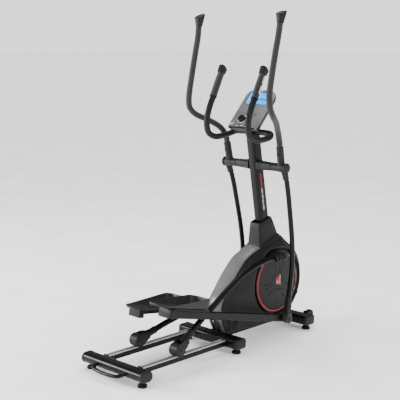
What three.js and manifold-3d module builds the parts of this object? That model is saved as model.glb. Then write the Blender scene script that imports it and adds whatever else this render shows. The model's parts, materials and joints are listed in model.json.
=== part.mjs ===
// Elliptical trainer: a front crank in a moulded housing, two curved links that roll on rails,
// two pedal bars hung between the links and the swing arms, and a mast with handlebar and console.
// Millimetres, +Z up, +Y towards the console, +X to the user's right.
// Stations along Y are measured from the rear stabilizer; the whole group is centred at the end.

import * as THREE from 'three';
import { mergeVertices } from 'three/addons/utils/BufferGeometryUtils.js';
import Module from 'manifold-3d';

const wasm = await Module();
wasm.setup();

// ---------------------------------------------------------------- driving dimensions
const CENTRE_Y = 598;             // station of the middle of the machine's length
const GAP = 0.3;                  // clearance between pieces that rest on each other

const REAR = { y: 0, half: 210, foot: 177 };
const MID = { y: 634, half: 202, foot: 169 };
const FRONT = { y: 1190, half: 198, foot: 167 };
const BAR = { wide: 72, tall: 50, z: 52 };        // stabilizer section and its centre height
const FOOT = { radius: 23, height: 26.6 };

const RAIL = { x: 119, wide: 34, low: 38, high: 63, track: 4 };
const ROLLER = { radius: 27.3, wide: 28, z: 95 };
const COVER = { radius: 32, thick: 4.5 };

const CRANK = { y: 1044, z: 273.5, radius: 148, angle: 96.6, disc: 168, face: 86 };
const RECESS = { radius: 178, floor: 68, lip: 88 };
const SHELL = 3;                  // wall thickness of the plastic covers
const EDGE = 47;                  // half width of the housing along its top and rear edges

const MAST = { wide: 50, deep: 67, corner: 14, topZ: 1062, topY: 935, lean: 0.169 };
const AXLE = { y: 956, z: 893, radius: 12, half: 212 };

const ARM = { tube: 13, grip: 15.5, swing: 2.5, hub: 21.5, riser: 18.7 };
const PEDAL_BAR = { inner: 151.6, outer: 176, tall: 38, bracketInner: 94, seat: 26.7 };
const LINK = { x: 121, radius: 15 };
const LINK_PITCH = { right: 23.36, left: 2.2 };
const ROLLER_Y = { right: 273.3, left: 240.6 };

const CONSOLE = { y: 844, z: 1087, tilt: 47.4, wide: 190, long: 254, deep: 42 };
const HANDLE = { tube: 15.5, grip: 18.3 };
const LIFT_ROD = 9;               // radius of the lift handle's rod

const FLYWHEEL = { y: 812, z: 214, radius: 103, wide: 20 };
const BELT = { x: 42, wide: 12, thick: 3, drive: 128, driven: 18 };

const SIDES = [
  { name: 'right', side: 1 },
  { name: 'left', side: -1 },
];

// ---------------------------------------------------------------- finishes
function finish(colour, roughness, metalness) {
  return new THREE.MeshStandardMaterial({ color: colour, roughness, metalness });
}
const BLACK_STEEL = [0x141414, 0.4, 0.2];
const CHARCOAL = [0x333333, 0.5, 0];
const BLACK_PLASTIC = [0x1b1b1b, 0.45, 0];
const GREY_PLASTIC = [0x8b8b8b, 0.4, 0];
const FOAM = [0x4c4c4c, 0.9, 0];
const RUBBER = [0x101010, 0.8, 0];
const ALUMINIUM = [0xc8c8c8, 0.3, 1];
const STEEL = [0xb0b0b0, 0.3, 1];
const CAST_IRON = [0x2a2a2c, 0.5, 0.8];
const DISPLAY = [0x8fd3f5, 0.15, 0];

const machine = new THREE.Group();

function add(name, geometry, look, parent = machine) {
  const piece = new THREE.Mesh(geometry, finish(...look));
  piece.name = name;
  parent.add(piece);
  return piece;
}

// ---------------------------------------------------------------- geometry helpers
const SIDE_VIEW = new THREE.Matrix4().makeBasis(
  new THREE.Vector3(0, 1, 0), new THREE.Vector3(0, 0, 1), new THREE.Vector3(1, 0, 0));
const REAR_VIEW = new THREE.Matrix4().makeBasis(
  new THREE.Vector3(1, 0, 0), new THREE.Vector3(0, 0, 1), new THREE.Vector3(0, -1, 0));

// Keeps positions only and merges the vertices that faces share.
function welded(geometry) {
  const bare = new THREE.BufferGeometry();
  bare.setAttribute('position', geometry.getAttribute('position').clone());
  if (geometry.index) {
    bare.setIndex(geometry.index.clone());
  }
  return mergeVertices(bare, 1e-4);
}

function solid(geometry) {
  const mesh = welded(geometry);
  return new wasm.Manifold(new wasm.Mesh({
    numProp: 3,
    vertProperties: new Float32Array(mesh.getAttribute('position').array),
    triVerts: new Uint32Array(mesh.index.array),
  }));
}

function skin(body) {
  const mesh = body.getMesh();
  const geometry = new THREE.BufferGeometry();
  geometry.setAttribute('position', new THREE.BufferAttribute(mesh.vertProperties, 3));
  geometry.setIndex(new THREE.BufferAttribute(mesh.triVerts, 1));
  return geometry;
}

function join(...geometries) {
  return skin(geometries.map(solid).reduce((whole, next) => whole.add(next)));
}

function cut(geometry, ...tools) {
  return skin(tools.map(solid).reduce((whole, tool) => whole.subtract(tool), solid(geometry)));
}

function moved(geometry, x, y, z) {
  return geometry.translate(x, y, z);
}

function block(x0, x1, y0, y1, z0, z1) {
  const geometry = new THREE.BoxGeometry(x1 - x0, y1 - y0, z1 - z0);
  return geometry.translate((x0 + x1) / 2, (y0 + y1) / 2, (z0 + z1) / 2);
}

// A round bar along X.
function axial(x0, x1, y, z, radius, sides = 24) {
  const geometry = new THREE.CylinderGeometry(radius, radius, x1 - x0, sides);
  return geometry.rotateZ(Math.PI / 2).translate((x0 + x1) / 2, y, z);
}

function roundedRectangle(wide, tall, radius, corner = 3) {
  const outline = new THREE.Shape();
  const x = wide / 2 - radius;
  const y = tall / 2 - radius;
  const quarters = [[x, y, 0], [-x, y, 90], [-x, -y, 180], [x, -y, 270]];
  const points = [];
  for (const [cx, cy, start] of quarters) {
    for (let i = 0; i <= corner; i += 1) {
      const angle = THREE.MathUtils.degToRad(start + 90 * i / corner);
      points.push(new THREE.Vector2(cx + radius * Math.cos(angle), cy + radius * Math.sin(angle)));
    }
  }
  return outline.setFromPoints(points);
}

function circle(radius, sides = 14) {
  const points = [];
  for (let i = 0; i < sides; i += 1) {
    const angle = 2 * Math.PI * i / sides;
    points.push(new THREE.Vector2(radius * Math.cos(angle), radius * Math.sin(angle)));
  }
  return new THREE.Shape().setFromPoints(points);
}

// A side-view outline (Y, Z) given thickness from x0 to x1, with rounded edges if asked.
function slab(outline, x0, x1, round = 0) {
  const geometry = new THREE.ExtrudeGeometry(outline, {
    depth: x1 - x0 - 2 * round,
    bevelEnabled: round > 0,
    bevelThickness: round,
    bevelSize: round,
    bevelOffset: -round,
    bevelSegments: 2,
    curveSegments: 12,
  });
  return geometry.translate(0, 0, x0 + round).applyMatrix4(SIDE_VIEW);
}

// A rear-view outline (X, Z) given length from y0 to y1.
function beam(outline, y0, y1) {
  const geometry = new THREE.ExtrudeGeometry(outline, { depth: y1 - y0, bevelEnabled: false });
  return geometry.applyMatrix4(REAR_VIEW).translate(0, y1, 0);
}

function sideOutline(pairs) {
  return new THREE.Shape().setFromPoints(pairs.map(([y, z]) => new THREE.Vector2(y, z)));
}

function vectors(triples) {
  return triples.map(([x, y, z]) => new THREE.Vector3(x, y, z));
}

// A bar of any section swept along a smooth path.
function swept(section, path, steps) {
  return new THREE.ExtrudeGeometry(section, { extrudePath: path, steps, bevelEnabled: false });
}

function tube(points, radius, steps, sides = 14) {
  const path = new THREE.CatmullRomCurve3(vectors(points), false, 'centripetal');
  return swept(circle(radius, sides), path, steps);
}

// Straight runs joined by bends, as a bent tube has.
function bent(points, bend) {
  const corners = vectors(points);
  const path = new THREE.CurvePath();
  let from = corners[0];
  for (let i = 1; i < corners.length - 1; i += 1) {
    const before = corners[i - 1].clone().sub(corners[i]);
    const after = corners[i + 1].clone().sub(corners[i]);
    const reach = Math.min(bend, before.length() * 0.48, after.length() * 0.48);
    const enter = corners[i].clone().add(before.setLength(reach));
    const leave = corners[i].clone().add(after.setLength(reach));
    path.add(new THREE.LineCurve3(from, enter));
    path.add(new THREE.QuadraticBezierCurve3(enter, corners[i], leave));
    from = leave;
  }
  path.add(new THREE.LineCurve3(from, corners[corners.length - 1]));
  return path;
}

// Joins rings of equal count into one closed skin; a loop joins its last ring to its first.
function loft(rings, loop = false) {
  const count = rings[0].length;
  const positions = rings.flat().flatMap((point) => [point.x, point.y, point.z]);
  const faces = [];
  const spans = loop ? rings.length : rings.length - 1;
  for (let i = 0; i < spans; i += 1) {
    const a = i * count;
    const b = ((i + 1) % rings.length) * count;
    for (let j = 0; j < count; j += 1) {
      const k = (j + 1) % count;
      faces.push(a + j, a + k, b + k, a + j, b + k, b + j);
    }
  }
  if (!loop) {
    for (const [ring, flip] of [[0, true], [rings.length - 1, false]]) {
      const centre = new THREE.Vector3();
      rings[ring].forEach((point) => centre.addScaledVector(point, 1 / count));
      const hub = positions.length / 3;
      positions.push(centre.x, centre.y, centre.z);
      for (let j = 0; j < count; j += 1) {
        const a = ring * count + j;
        const b = ring * count + (j + 1) % count;
        faces.push(...(flip ? [hub, b, a] : [hub, a, b]));
      }
    }
  }
  const geometry = new THREE.BufferGeometry();
  geometry.setAttribute('position', new THREE.Float32BufferAttribute(positions, 3));
  geometry.setIndex(faces);
  return facingOut(geometry);
}

// Turns every face over when the closed skin encloses a negative volume.
function facingOut(geometry) {
  const at = geometry.getAttribute('position');
  const index = geometry.index.array;
  const corner = [new THREE.Vector3(), new THREE.Vector3(), new THREE.Vector3()];
  let volume = 0;
  for (let i = 0; i < index.length; i += 3) {
    corner.forEach((point, n) => point.fromBufferAttribute(at, index[i + n]));
    volume += corner[0].dot(corner[1].clone().cross(corner[2]));
  }
  if (volume < 0) {
    for (let i = 0; i < index.length; i += 3) {
      [index[i + 1], index[i + 2]] = [index[i + 2], index[i + 1]];
    }
  }
  return geometry;
}

function mirrored(geometry, side) {
  if (side > 0) {
    return geometry;
  }
  const flipped = welded(geometry);
  flipped.scale(-1, 1, 1);
  return facingOut(flipped);
}

// ---------------------------------------------------------------- stabilizers, feet, rails
function stabilizer(at, corner) {
  const section = roundedRectangle(BAR.wide, BAR.tall, corner, 5);
  return moved(slab(section, -at.half, at.half, 2), 0, at.y, BAR.z);
}

// Two small wheels ahead of the front stabilizer touch the floor only when the rear is lifted.
const WHEEL = { x: 138, y: 1254, z: 62, radius: 26, wide: 22, pin: 5 };

function wheelLugs(side) {
  const x = side * WHEEL.x;
  const outline = sideOutline([[1215, 48], [1262, 52], [1266, 62], [1262, 72], [1215, 76]]);
  const lugs = [-1, 1].map((hand) => {
    const near = x + hand * (WHEEL.wide / 2 + 1);
    const far = near + hand * 4;
    return slab(outline, Math.min(near, far), Math.max(near, far));
  });
  return [...lugs, axial(x - WHEEL.wide / 2 - 3, x + WHEEL.wide / 2 + 3, WHEEL.y, WHEEL.z, WHEEL.pin, 12)];
}

add('rear_stabilizer', stabilizer(REAR, 24), BLACK_STEEL);
add('mid_stabilizer', stabilizer(MID, 12), BLACK_STEEL);
add('front_stabilizer', join(stabilizer(FRONT, 12), ...wheelLugs(1), ...wheelLugs(-1)), BLACK_STEEL);

const footProfile = [[0, 0], [0.9, 0], [1, 0.12], [0.9, 0.6], [0.55, 0.68], [0.55, 1], [0, 1]]
  .map(([r, z]) => new THREE.Vector2(r * FOOT.radius, z * FOOT.height));
for (const [place, at] of [['rear', REAR], ['mid', MID], ['front', FRONT]]) {
  for (const { name, side } of SIDES) {
    const foot = new THREE.LatheGeometry(footProfile, 14).rotateX(Math.PI / 2);
    add(`${place}_foot_${name}`, moved(foot, side * at.foot, at.y, 0), RUBBER);
  }
}

const railStart = REAR.y + BAR.wide / 2 + GAP;
const railEnd = MID.y - BAR.wide / 2 - GAP;
for (const { name, side } of SIDES) {
  const x = side * RAIL.x;
  const half = RAIL.wide / 2;
  add(`rail_${name}`, block(x - half, x + half, railStart, railEnd, RAIL.low, RAIL.high), BLACK_STEEL);
  const base = RAIL.high + GAP;
  const top = base + RAIL.track;
  const ridge = new THREE.Shape().setFromPoints([
    [-half, base], [half, base], [half, top - 1.5], [5, top - 1.5], [3.5, top], [-3.5, top],
    [-5, top - 1.5], [-half, top - 1.5],
  ].map(([dx, z]) => new THREE.Vector2(x + dx, z)));
  add(`rail_track_${name}`, beam(ridge, railStart + 6, railEnd - 6), ALUMINIUM);
}

const LIFT_PATH = [[-97, -37.5, 50], [-97, -48, 47], [-84, -65, 42], [-50, -72.5, 39], [0, -75, 38], [50, -72.5, 39],
  [84, -65, 42], [97, -48, 47], [97, -37.5, 50]];
add('rear_lift_handle', tube(LIFT_PATH, LIFT_ROD, 24, 10), BLACK_STEEL);

for (const { name, side } of SIDES) {
  const x = side * WHEEL.x;
  const rim = axial(x - WHEEL.wide / 2, x + WHEEL.wide / 2, WHEEL.y, WHEEL.z, WHEEL.radius, 24);
  const bore = axial(x - WHEEL.wide, x + WHEEL.wide, WHEEL.y, WHEEL.z, WHEEL.pin + 2 * GAP, 12);
  add(`transport_wheel_${name}`, cut(rim, bore), RUBBER);
}

// ---------------------------------------------------------------- main frame inside the housing
const frameRear = MID.y + BAR.wide / 2 + GAP;
const frameFront = FRONT.y - BAR.wide / 2 - GAP;
const mastFoot = 500;
const towerTop = { y: MAST.topY + (MAST.topZ - mastFoot) * MAST.lean, z: mastFoot - 1 };

function tower() {
  const outline = sideOutline([
    [1000, 90], [1062, 90], [1058, 300], [towerTop.y + 27, towerTop.z], [towerTop.y - 27, towerTop.z],
    [1000, 300],
  ]);
  return slab(outline, -19, 19);
}

function frame() {
  const spine = block(-25, 25, frameRear, frameFront, 32, 98);
  const post = block(-25, 25, frameRear, 722, 60, 128);
  const shell = axial(-33, 33, CRANK.y, CRANK.z, 27, 24);
  const bracket = sideOutline([[776, 90], [848, 90], [826, 236], [798, 236]]);
  const cheeks = [slab(bracket, 15, 20), slab(bracket, -20, -15)];
  const whole = join(spine, post, tower(), shell, ...cheeks);
  const bores = [axial(-60, 60, CRANK.y, CRANK.z, 10.4, 18), axial(-30, 30, FLYWHEEL.y, FLYWHEEL.z, 6.3, 12)];
  return cut(whole, ...bores);
}
add('main_frame', frame(), BLACK_STEEL);

// ---------------------------------------------------------------- housing
// Side outline of the housing, run from the collar's rear corner down the back, along the
// bottom and up round the front; each stretch has its own width and depth to the middle.
const COLLAR_REAR = [950, 459];
const COLLAR_FRONT = [1104, 507];
const FRONT_ROUND = 222;

function aroundFront(degrees) {
  const angle = THREE.MathUtils.degToRad(degrees);
  return [CRANK.y + FRONT_ROUND * Math.cos(angle), CRANK.z + FRONT_ROUND * Math.sin(angle)];
}

function along(points, count, smooth = true) {
  const flat = points.map(([y, z]) => new THREE.Vector3(0, y, z));
  const path = smooth ? new THREE.CatmullRomCurve3(flat) : new THREE.LineCurve3(flat[0], flat[1]);
  return path.getSpacedPoints(count).slice(0, count).map((point) => [point.y, point.z]);
}

const REAR_EDGE = [COLLAR_REAR, [902, 443], [864, 428], [825, 404], [787, 369], [748, 328],
  [708, 280], [668, 228], [656, 190], [664, 130], [690, 64]];
const BOTTOM_FRONT = -97;
const TOP_FRONT = 42;

function stretch(pairs, edge, edgeEnd, depth) {
  return pairs.map(([y, z], i) => ({
    y, z, edge: edge + (edgeEnd - edge) * i / pairs.length, depth,
  }));
}

const FRONT_STEPS = 16;
const OPEN_STEPS = 6;              // the first of them pass the frame's spine
const frontArc = [];
for (let i = 0; i < FRONT_STEPS; i += 1) {
  frontArc.push(aroundFront(BOTTOM_FRONT + (TOP_FRONT - BOTTOM_FRONT) * i / FRONT_STEPS));
}
const OUTLINE = [
  ...stretch(along(REAR_EDGE, 16), EDGE, EDGE, 34),
  ...stretch(along([REAR_EDGE[REAR_EDGE.length - 1], aroundFront(BOTTOM_FRONT)], 6, false), EDGE, 58, 28),
  ...stretch(frontArc.slice(0, OPEN_STEPS), 58, 60, 28),
  ...stretch(frontArc.slice(OPEN_STEPS), 60, 58, 0.4),
  ...stretch(along([aroundFront(TOP_FRONT), [1146, 470], COLLAR_FRONT], 4), 58, 53, 0.4),
  ...stretch(along([COLLAR_FRONT, COLLAR_REAR], 6, false), 52, EDGE, 36),
];

function inDirection(point, radius) {
  const reach = Math.hypot(point.y - CRANK.y, point.z - CRANK.z);
  const scale = radius / reach;
  return { y: CRANK.y + (point.y - CRANK.y) * scale, z: CRANK.z + (point.z - CRANK.z) * scale };
}

// One ring of the cover at a fixed radius round the crank.
function hubRing(radius, x) {
  return OUTLINE.map((point) => {
    const at = inDirection(point, radius);
    return new THREE.Vector3(x, at.y, at.z);
  });
}

// One ring part of the way from the disc recess to the outline, t = 0 to 1.
function sideRing(t, inset) {
  return OUTLINE.map((point) => {
    const inner = inDirection(point, RECESS.radius + 3);
    const outer = inDirection(point, Math.hypot(point.y - CRANK.y, point.z - CRANK.z) - 6 - inset);
    const fall = t * t * (3 - 2 * t);
    const x = RECESS.lip - inset - (RECESS.lip - point.edge - 5) * fall;
    return new THREE.Vector3(x, inner.y + (outer.y - inner.y) * t, inner.z + (outer.z - inner.z) * t);
  });
}

function wallRing(inset, x) {
  return OUTLINE.map((point) => {
    const reach = Math.hypot(point.y - CRANK.y, point.z - CRANK.z) - inset;
    const at = inDirection(point, reach);
    return new THREE.Vector3(Math.min(x(point), point.edge), at.y, at.z);
  });
}

function sideCover() {
  const { radius, floor, lip } = RECESS;
  return loft([
    hubRing(24, floor), hubRing(radius - 4, floor), hubRing(radius, floor + 4), hubRing(radius, lip - 3),
    sideRing(0, 0), sideRing(0.4, 0), sideRing(0.75, 0), sideRing(1, 0),
    wallRing(0, (point) => point.edge - 4),
    wallRing(0, (point) => point.depth), wallRing(SHELL, (point) => point.depth),
    wallRing(SHELL + 1, (point) => point.edge - 6), sideRing(1, SHELL), sideRing(0.6, SHELL),
    sideRing(0.1, SHELL), hubRing(radius + SHELL, floor - SHELL + 4), hubRing(radius, floor - SHELL),
    hubRing(24, floor - SHELL),
  ], true);
}
for (const { name, side } of SIDES) {
  add(`side_cover_${name}`, mirrored(sideCover(), side), CHARCOAL);
}

// The rear cover is a crowned strip over the back of the housing, notched for the frame.
function rearCover() {
  const crown = 9;
  const steps = 16;
  const lift = 1.2;
  const half = EDGE - 0.8;
  const edge = along(REAR_EDGE, steps);
  const rings = edge.slice(1).map(([y, z], i) => {
    const before = edge[i];
    const after = edge[Math.min(i + 2, steps - 1)];
    const run = Math.hypot(after[0] - before[0], after[1] - before[1]);
    const out = [(after[1] - before[1]) / run, (before[0] - after[0]) / run];
    const ring = [];
    for (const [inset, direction] of [[0, 1], [SHELL, -1]]) {
      for (let k = 0; k <= 6; k += 1) {
        const u = direction * (2 * k / 6 - 1);
        const height = lift + crown * (1 - u * u) - inset + SHELL;
        ring.push(new THREE.Vector3(half * u, y + out[0] * height, z + out[1] * height));
      }
    }
    return ring;
  });
  const strip = loft(rings);
  return cut(strip, block(-27, 27, 600, 760, 0, 132));
}
add('rear_cover', rearCover(), GREY_PLASTIC);

function collarRing(rearY, rearZ, frontY, frontZ, half, inset) {
  const points = [];
  const corner = 12 - inset;
  const outline = roundedRectangle(2 * (half - inset), Math.hypot(frontY - rearY, frontZ - rearZ) - 2 * inset,
    corner, 3).getPoints();
  const long = Math.hypot(frontY - rearY, frontZ - rearZ);
  for (const point of outline.slice(0, 16)) {
    const t = point.y / long + 0.5;
    points.push(new THREE.Vector3(point.x, rearY + (frontY - rearY) * t, rearZ + (frontZ - rearZ) * t));
  }
  return points;
}

function collar() {
  const low = [COLLAR_REAR[0] + 1, COLLAR_REAR[1] + 1.5, COLLAR_FRONT[0] - 1, COLLAR_FRONT[1] + 1.5, 49];
  const waist = [951, 478, 1094, 524, 46];
  const top = [957, 585, 1054, 613, 37];
  return loft([
    collarRing(...low, 0), collarRing(...waist, 0), collarRing(...top, 0),
    collarRing(...top, SHELL), collarRing(...waist, SHELL), collarRing(...low, SHELL),
  ], true);
}
add('mast_collar', collar(), CHARCOAL);

// ---------------------------------------------------------------- mast, axle and fixed handlebar
function mastY(z) {
  return MAST.topY + (MAST.topZ - z) * MAST.lean;
}
const MAST_SPARE = 14;            // trimmed off to leave level ends

function mast() {
  const low = mastFoot - MAST_SPARE;
  const high = MAST.topZ + MAST_SPARE;
  const section = roundedRectangle(MAST.wide, MAST.deep, MAST.corner, 3).getPoints().slice(0, 16);
  const rings = [low, high].map((z) => section.map(
    (point) => new THREE.Vector3(point.x, mastY(z) + point.y, z)));
  const bore = axial(-50, 50, AXLE.y, AXLE.z, AXLE.radius + 0.4, 20);
  const below = block(-60, 60, 900, 1200, low - 10, mastFoot);
  const above = block(-60, 60, 850, 1050, MAST.topZ, high + 10);
  return cut(loft(rings), bore, below, above);
}
add('mast', mast(), BLACK_STEEL);

add('swing_axle', axial(-AXLE.half + 9, AXLE.half - 9, AXLE.y, AXLE.z, AXLE.radius, 20), STEEL);

// Each axle cover tapers from the mast to the hub of its swing arm.
function ovalRing(x, deep, tall, sides = 20) {
  const ring = [];
  for (let i = 0; i < sides; i += 1) {
    const angle = 2 * Math.PI * i / sides;
    const c = Math.cos(angle);
    const s = Math.sin(angle);
    const square = 1 / Math.max(Math.abs(c) ** 3 + Math.abs(s) ** 3, 1e-6) ** (1 / 3);
    ring.push(new THREE.Vector3(x, AXLE.y + deep / 2 * c * square, AXLE.z + tall / 2 * s * square));
  }
  return ring;
}

function axleCover() {
  const x0 = MAST.wide / 2 + GAP;
  const body = loft([ovalRing(x0, 54, 50), ovalRing(x0 + 20, 52, 47), ovalRing(120, 40, 38)]);
  return cut(body, axial(0, 160, AXLE.y, AXLE.z, AXLE.radius + 0.4, 20));
}
for (const { name, side } of SIDES) {
  add(`axle_cover_${name}`, mirrored(axleCover(), side), CHARCOAL);
}

const handleSide = [[138, 905, 1047], [138, 800, 1040], [138, 752, 1066], [138, 741, 1120],
  [138, 757, 1182], [138, 787, 1243]];
const handleTop = [138, 862, 1388];

function fixedHandlebar() {
  const right = [[60, 938, 1063.5], [118, 934, 1060], ...handleSide];
  const left = right.map(([x, y, z]) => [-x, y, z]).reverse();
  return tube([...left, [0, 938, 1064.5], ...right], HANDLE.tube, 60, 10);
}
const handlebar = cut(fixedHandlebar(), block(-40, 40, 880, 1000, 900, MAST.topZ + GAP));
add('fixed_handlebar', handlebar, BLACK_STEEL);

function fixedGrip() {
  const start = new THREE.Vector3(138, 787.4, 1243.9);
  const end = new THREE.Vector3(...handleTop);
  const middle = start.clone().lerp(end, 0.5).add(new THREE.Vector3(0, -3, 2));
  return swept(circle(HANDLE.grip, 12), new THREE.QuadraticBezierCurve3(start, middle, end), 10);
}
for (const { name, side } of SIDES) {
  add(`fixed_grip_${name}`, mirrored(fixedGrip(), side), FOAM);
}

// ---------------------------------------------------------------- console
const console3d = new THREE.Group();
console3d.position.set(0, CONSOLE.y, CONSOLE.z);
console3d.rotation.x = THREE.MathUtils.degToRad(CONSOLE.tilt);
machine.add(console3d);

function plate(outline, z0, z1, round = 0) {
  const geometry = new THREE.ExtrudeGeometry(outline, {
    depth: z1 - z0 - 2 * round, bevelEnabled: round > 0, bevelThickness: round, bevelSize: round,
    bevelOffset: -round, bevelSegments: 2, curveSegments: 8,
  });
  return geometry.translate(0, 0, z0 + round);
}

function consoleOutline(inset) {
  const half = CONSOLE.wide / 2 - inset;
  const top = CONSOLE.long - inset;
  const outline = new THREE.Shape();
  outline.moveTo(-half + 12, inset);
  outline.lineTo(half - 12, inset);
  outline.quadraticCurveTo(half, inset, half, 14 + inset);
  outline.lineTo(half, top - 46);
  outline.quadraticCurveTo(half, top - 6, half - 46, top - 3);
  outline.quadraticCurveTo(0, top + 3, -half + 46, top - 3);
  outline.quadraticCurveTo(-half, top - 6, -half, top - 46);
  outline.lineTo(-half, 14 + inset);
  outline.quadraticCurveTo(-half, inset, -half + 12, inset);
  return outline;
}

const SCREEN = { x: 0, y: 197, wide: 140, tall: 76 };
const KNOB = { x: -26, y: 57, radius: 23, high: 16 };
const BUTTONS = [[-76, 28], [-38, 14], [-6, 22]];

function consoleCase() {
  const shell = plate(consoleOutline(0), -CONSOLE.deep, 0, 4);
  const window3d = moved(plate(roundedRectangle(SCREEN.wide + 1, SCREEN.tall + 1, 4), -4, 2), SCREEN.x, SCREEN.y, 0);
  const spindle = new THREE.CylinderGeometry(5, 5, 20, 12).rotateX(Math.PI / 2).translate(KNOB.x, KNOB.y, 0);
  const wells = BUTTONS.map(([x, y]) => moved(plate(roundedRectangle(21, 13, 5), -6, 2), x, y, 0));
  return cut(shell, window3d, spindle, ...wells);
}
add('console_case', consoleCase(), GREY_PLASTIC, console3d);
const glass = plate(roundedRectangle(SCREEN.wide, SCREEN.tall, 4), -3.6, -0.6);
add('console_screen', moved(glass, SCREEN.x, SCREEN.y, 0), DISPLAY, console3d);

function knob() {
  const { radius, high } = KNOB;
  const profile = [[0, -8], [4.6, -8], [4.6, 0.5], [radius, 0.5], [radius, 4], [radius - 4, 5],
    [radius - 5, high - 2], [radius - 7, high], [0, high]].map(([r, z]) => new THREE.Vector2(r, z));
  return new THREE.LatheGeometry(profile, 24).rotateX(Math.PI / 2);
}
add('console_knob', knob(), BLACK_PLASTIC, console3d).position.set(KNOB.x, KNOB.y, 0);
BUTTONS.forEach(([x, y], i) => {
  const key = plate(roundedRectangle(20, 12, 4.6), -2.5, 3.5);
  add(`console_button_${i + 1}`, key, STEEL, console3d).position.set(x, y, 0);
});

function consoleBracket() {
  const outline = sideOutline([[906, 1080.5], [962, 1080.5], [962, 1151], [906, 1090]]);
  return slab(outline, -30, 30, 2);
}
add('console_bracket', consoleBracket(), BLACK_PLASTIC);

// ---------------------------------------------------------------- crank, belt and flywheel
add('crank_axle', axial(-82, 82, CRANK.y, CRANK.z, 10, 24), STEEL);

const crankAngle = THREE.MathUtils.degToRad(CRANK.angle);
const pinReach = [CRANK.radius * Math.cos(crankAngle), CRANK.radius * Math.sin(crankAngle)];

function crankDisc(side) {
  const { disc, face } = CRANK;
  const profile = [[10.3, 72], [60, 72], [64, 76], [disc, 79], [disc, face - 2], [disc - 2, face],
    [20, face], [18, face + 2], [10.3, face + 2]].map(([r, x]) => new THREE.Vector2(r, x));
  const ring = new THREE.LatheGeometry([...profile, profile[0]], 40).rotateZ(-Math.PI / 2);
  const plateBody = moved(ring, 0, CRANK.y, CRANK.z);
  const y = CRANK.y + side * pinReach[0];
  const z = CRANK.z + side * pinReach[1];
  const boss = axial(face - 6, face + 15, y, z, 17, 20);
  return mirrored(join(plateBody, boss), side);
}
for (const { name, side } of SIDES) {
  add(`crank_disc_${name}`, crankDisc(side), CHARCOAL);
}

function grooved(radius, bore, wide, x, y, z, sides = 28) {
  const half = wide / 2;
  const profile = [[bore, -half], [radius + 3, -half], [radius + 3, -half + 1.5], [radius, -half + 2],
    [radius, half - 2], [radius + 3, half - 1.5], [radius + 3, half], [bore, half], [bore, -half]];
  const ring = new THREE.LatheGeometry(profile.map(([r, h]) => new THREE.Vector2(r, h)), sides);
  return ring.rotateZ(-Math.PI / 2).translate(x, y, z);
}
const pulleyWide = BELT.wide + 4.6;
add('drive_pulley', grooved(BELT.drive, 10.3, pulleyWide, BELT.x, CRANK.y, CRANK.z), BLACK_PLASTIC);

function flywheel() {
  const { y, z, radius, wide } = FLYWHEEL;
  const rim = new THREE.LatheGeometry([
    [5, -wide / 2], [24, -wide / 2], [26, -4], [radius - 16, -4], [radius - 14, -wide / 2], [radius, -wide / 2],
    [radius, wide / 2], [radius - 14, wide / 2], [radius - 16, 4], [26, 4], [24, wide / 2], [5, wide / 2],
    [5, -wide / 2]].map(([r, h]) => new THREE.Vector2(r, h)), 24).rotateZ(-Math.PI / 2).translate(0, y, z);
  const shaft = axial(-26, BELT.x + 9, y, z, 6, 16);
  const pulley = axial(BELT.x - 8, BELT.x + 8, y, z, BELT.driven, 24);
  return join(rim, shaft, pulley);
}
add('flywheel', flywheel(), CAST_IRON);

// The belt is the band round two circles, straight where it leaves them.
function beltOutline(extra, Kind) {
  const big = { y: CRANK.y, z: CRANK.z, r: BELT.drive + extra };
  const small = { y: FLYWHEEL.y, z: FLYWHEEL.z, r: BELT.driven + extra };
  const line = Math.atan2(big.z - small.z, big.y - small.y);
  const open = Math.acos((big.r - small.r) / Math.hypot(big.y - small.y, big.z - small.z));
  const outline = new Kind();
  const top = line + Math.PI - open;
  outline.absarc(big.y, big.z, big.r, line - Math.PI + open, top, false);
  outline.absarc(small.y, small.z, small.r, top, line + Math.PI + open, false);
  outline.closePath();
  return outline;
}

const BELT_SLACK = 1.2;           // keeps the faceted band clear of both pulleys

function belt() {
  const band = beltOutline(BELT_SLACK + BELT.thick, THREE.Shape);
  band.holes.push(beltOutline(BELT_SLACK, THREE.Path));
  const geometry = new THREE.ExtrudeGeometry(band, { depth: BELT.wide, bevelEnabled: false, curveSegments: 14 });
  return geometry.translate(0, 0, BELT.x - BELT.wide / 2).applyMatrix4(SIDE_VIEW);
}
add('drive_belt', belt(), RUBBER);

// ---------------------------------------------------------------- swing arms
// Stations of the arm's centre line from the axle, at its middle position: across, along, up.
const UPPER_ARM = [[174, -13, 62], [174, -18.3, 103], [175, -29, 147], [188, -58, 190], [219, -110, 229],
  [249, -172, 264], [257, -204, 300], [255, -211, 340], [252, -207, 385], [249, -195, 443],
  [246, -180, 511], [243, -163, 583], [241, -147, 647], [240, -137, 706]];
const LOWER_ARM = [[190, 12, -24], [190, 39, -110], [190, 57, -192], [190, 74, -275], [190, 89, -357],
  [190, 99, -440], [190, 102, -500], [190, 99, -560], [190, 93, -611], [190, 86, -672]];
const LOWER_PIN = [78, -789];

function armTube() {
  const lower = tube(LOWER_ARM, ARM.tube, 16, 10);
  const section = new THREE.Shape().setFromPoints([
    [101, -672], [70, -672], [60, -766], [62, -800], [78, -811], [92, -804], [96, -770],
  ].map(([y, z]) => new THREE.Vector2(y, z)));
  const shoe = slab(section, 176.5, 204, 1.5);
  return join(lower, shoe);
}

function armHub() {
  const sleeve = axial(120.6, 203, 0, 0, ARM.hub, 24);
  const path = new THREE.LineCurve3(new THREE.Vector3(174, 0, 8), new THREE.Vector3(174, -17.8, 101));
  const riser = swept(circle(ARM.riser, 18), path, 1);
  return cut(join(sleeve, riser), axial(100, 230, 0, 0, AXLE.radius + 0.4, 20));
}

function armGrip() {
  return tube(UPPER_ARM.slice(1).map(([x, y, z], i) => (i === 0 ? [x, y + 0.2, z] : [x, y, z])), ARM.grip, 28, 10);
}

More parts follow.
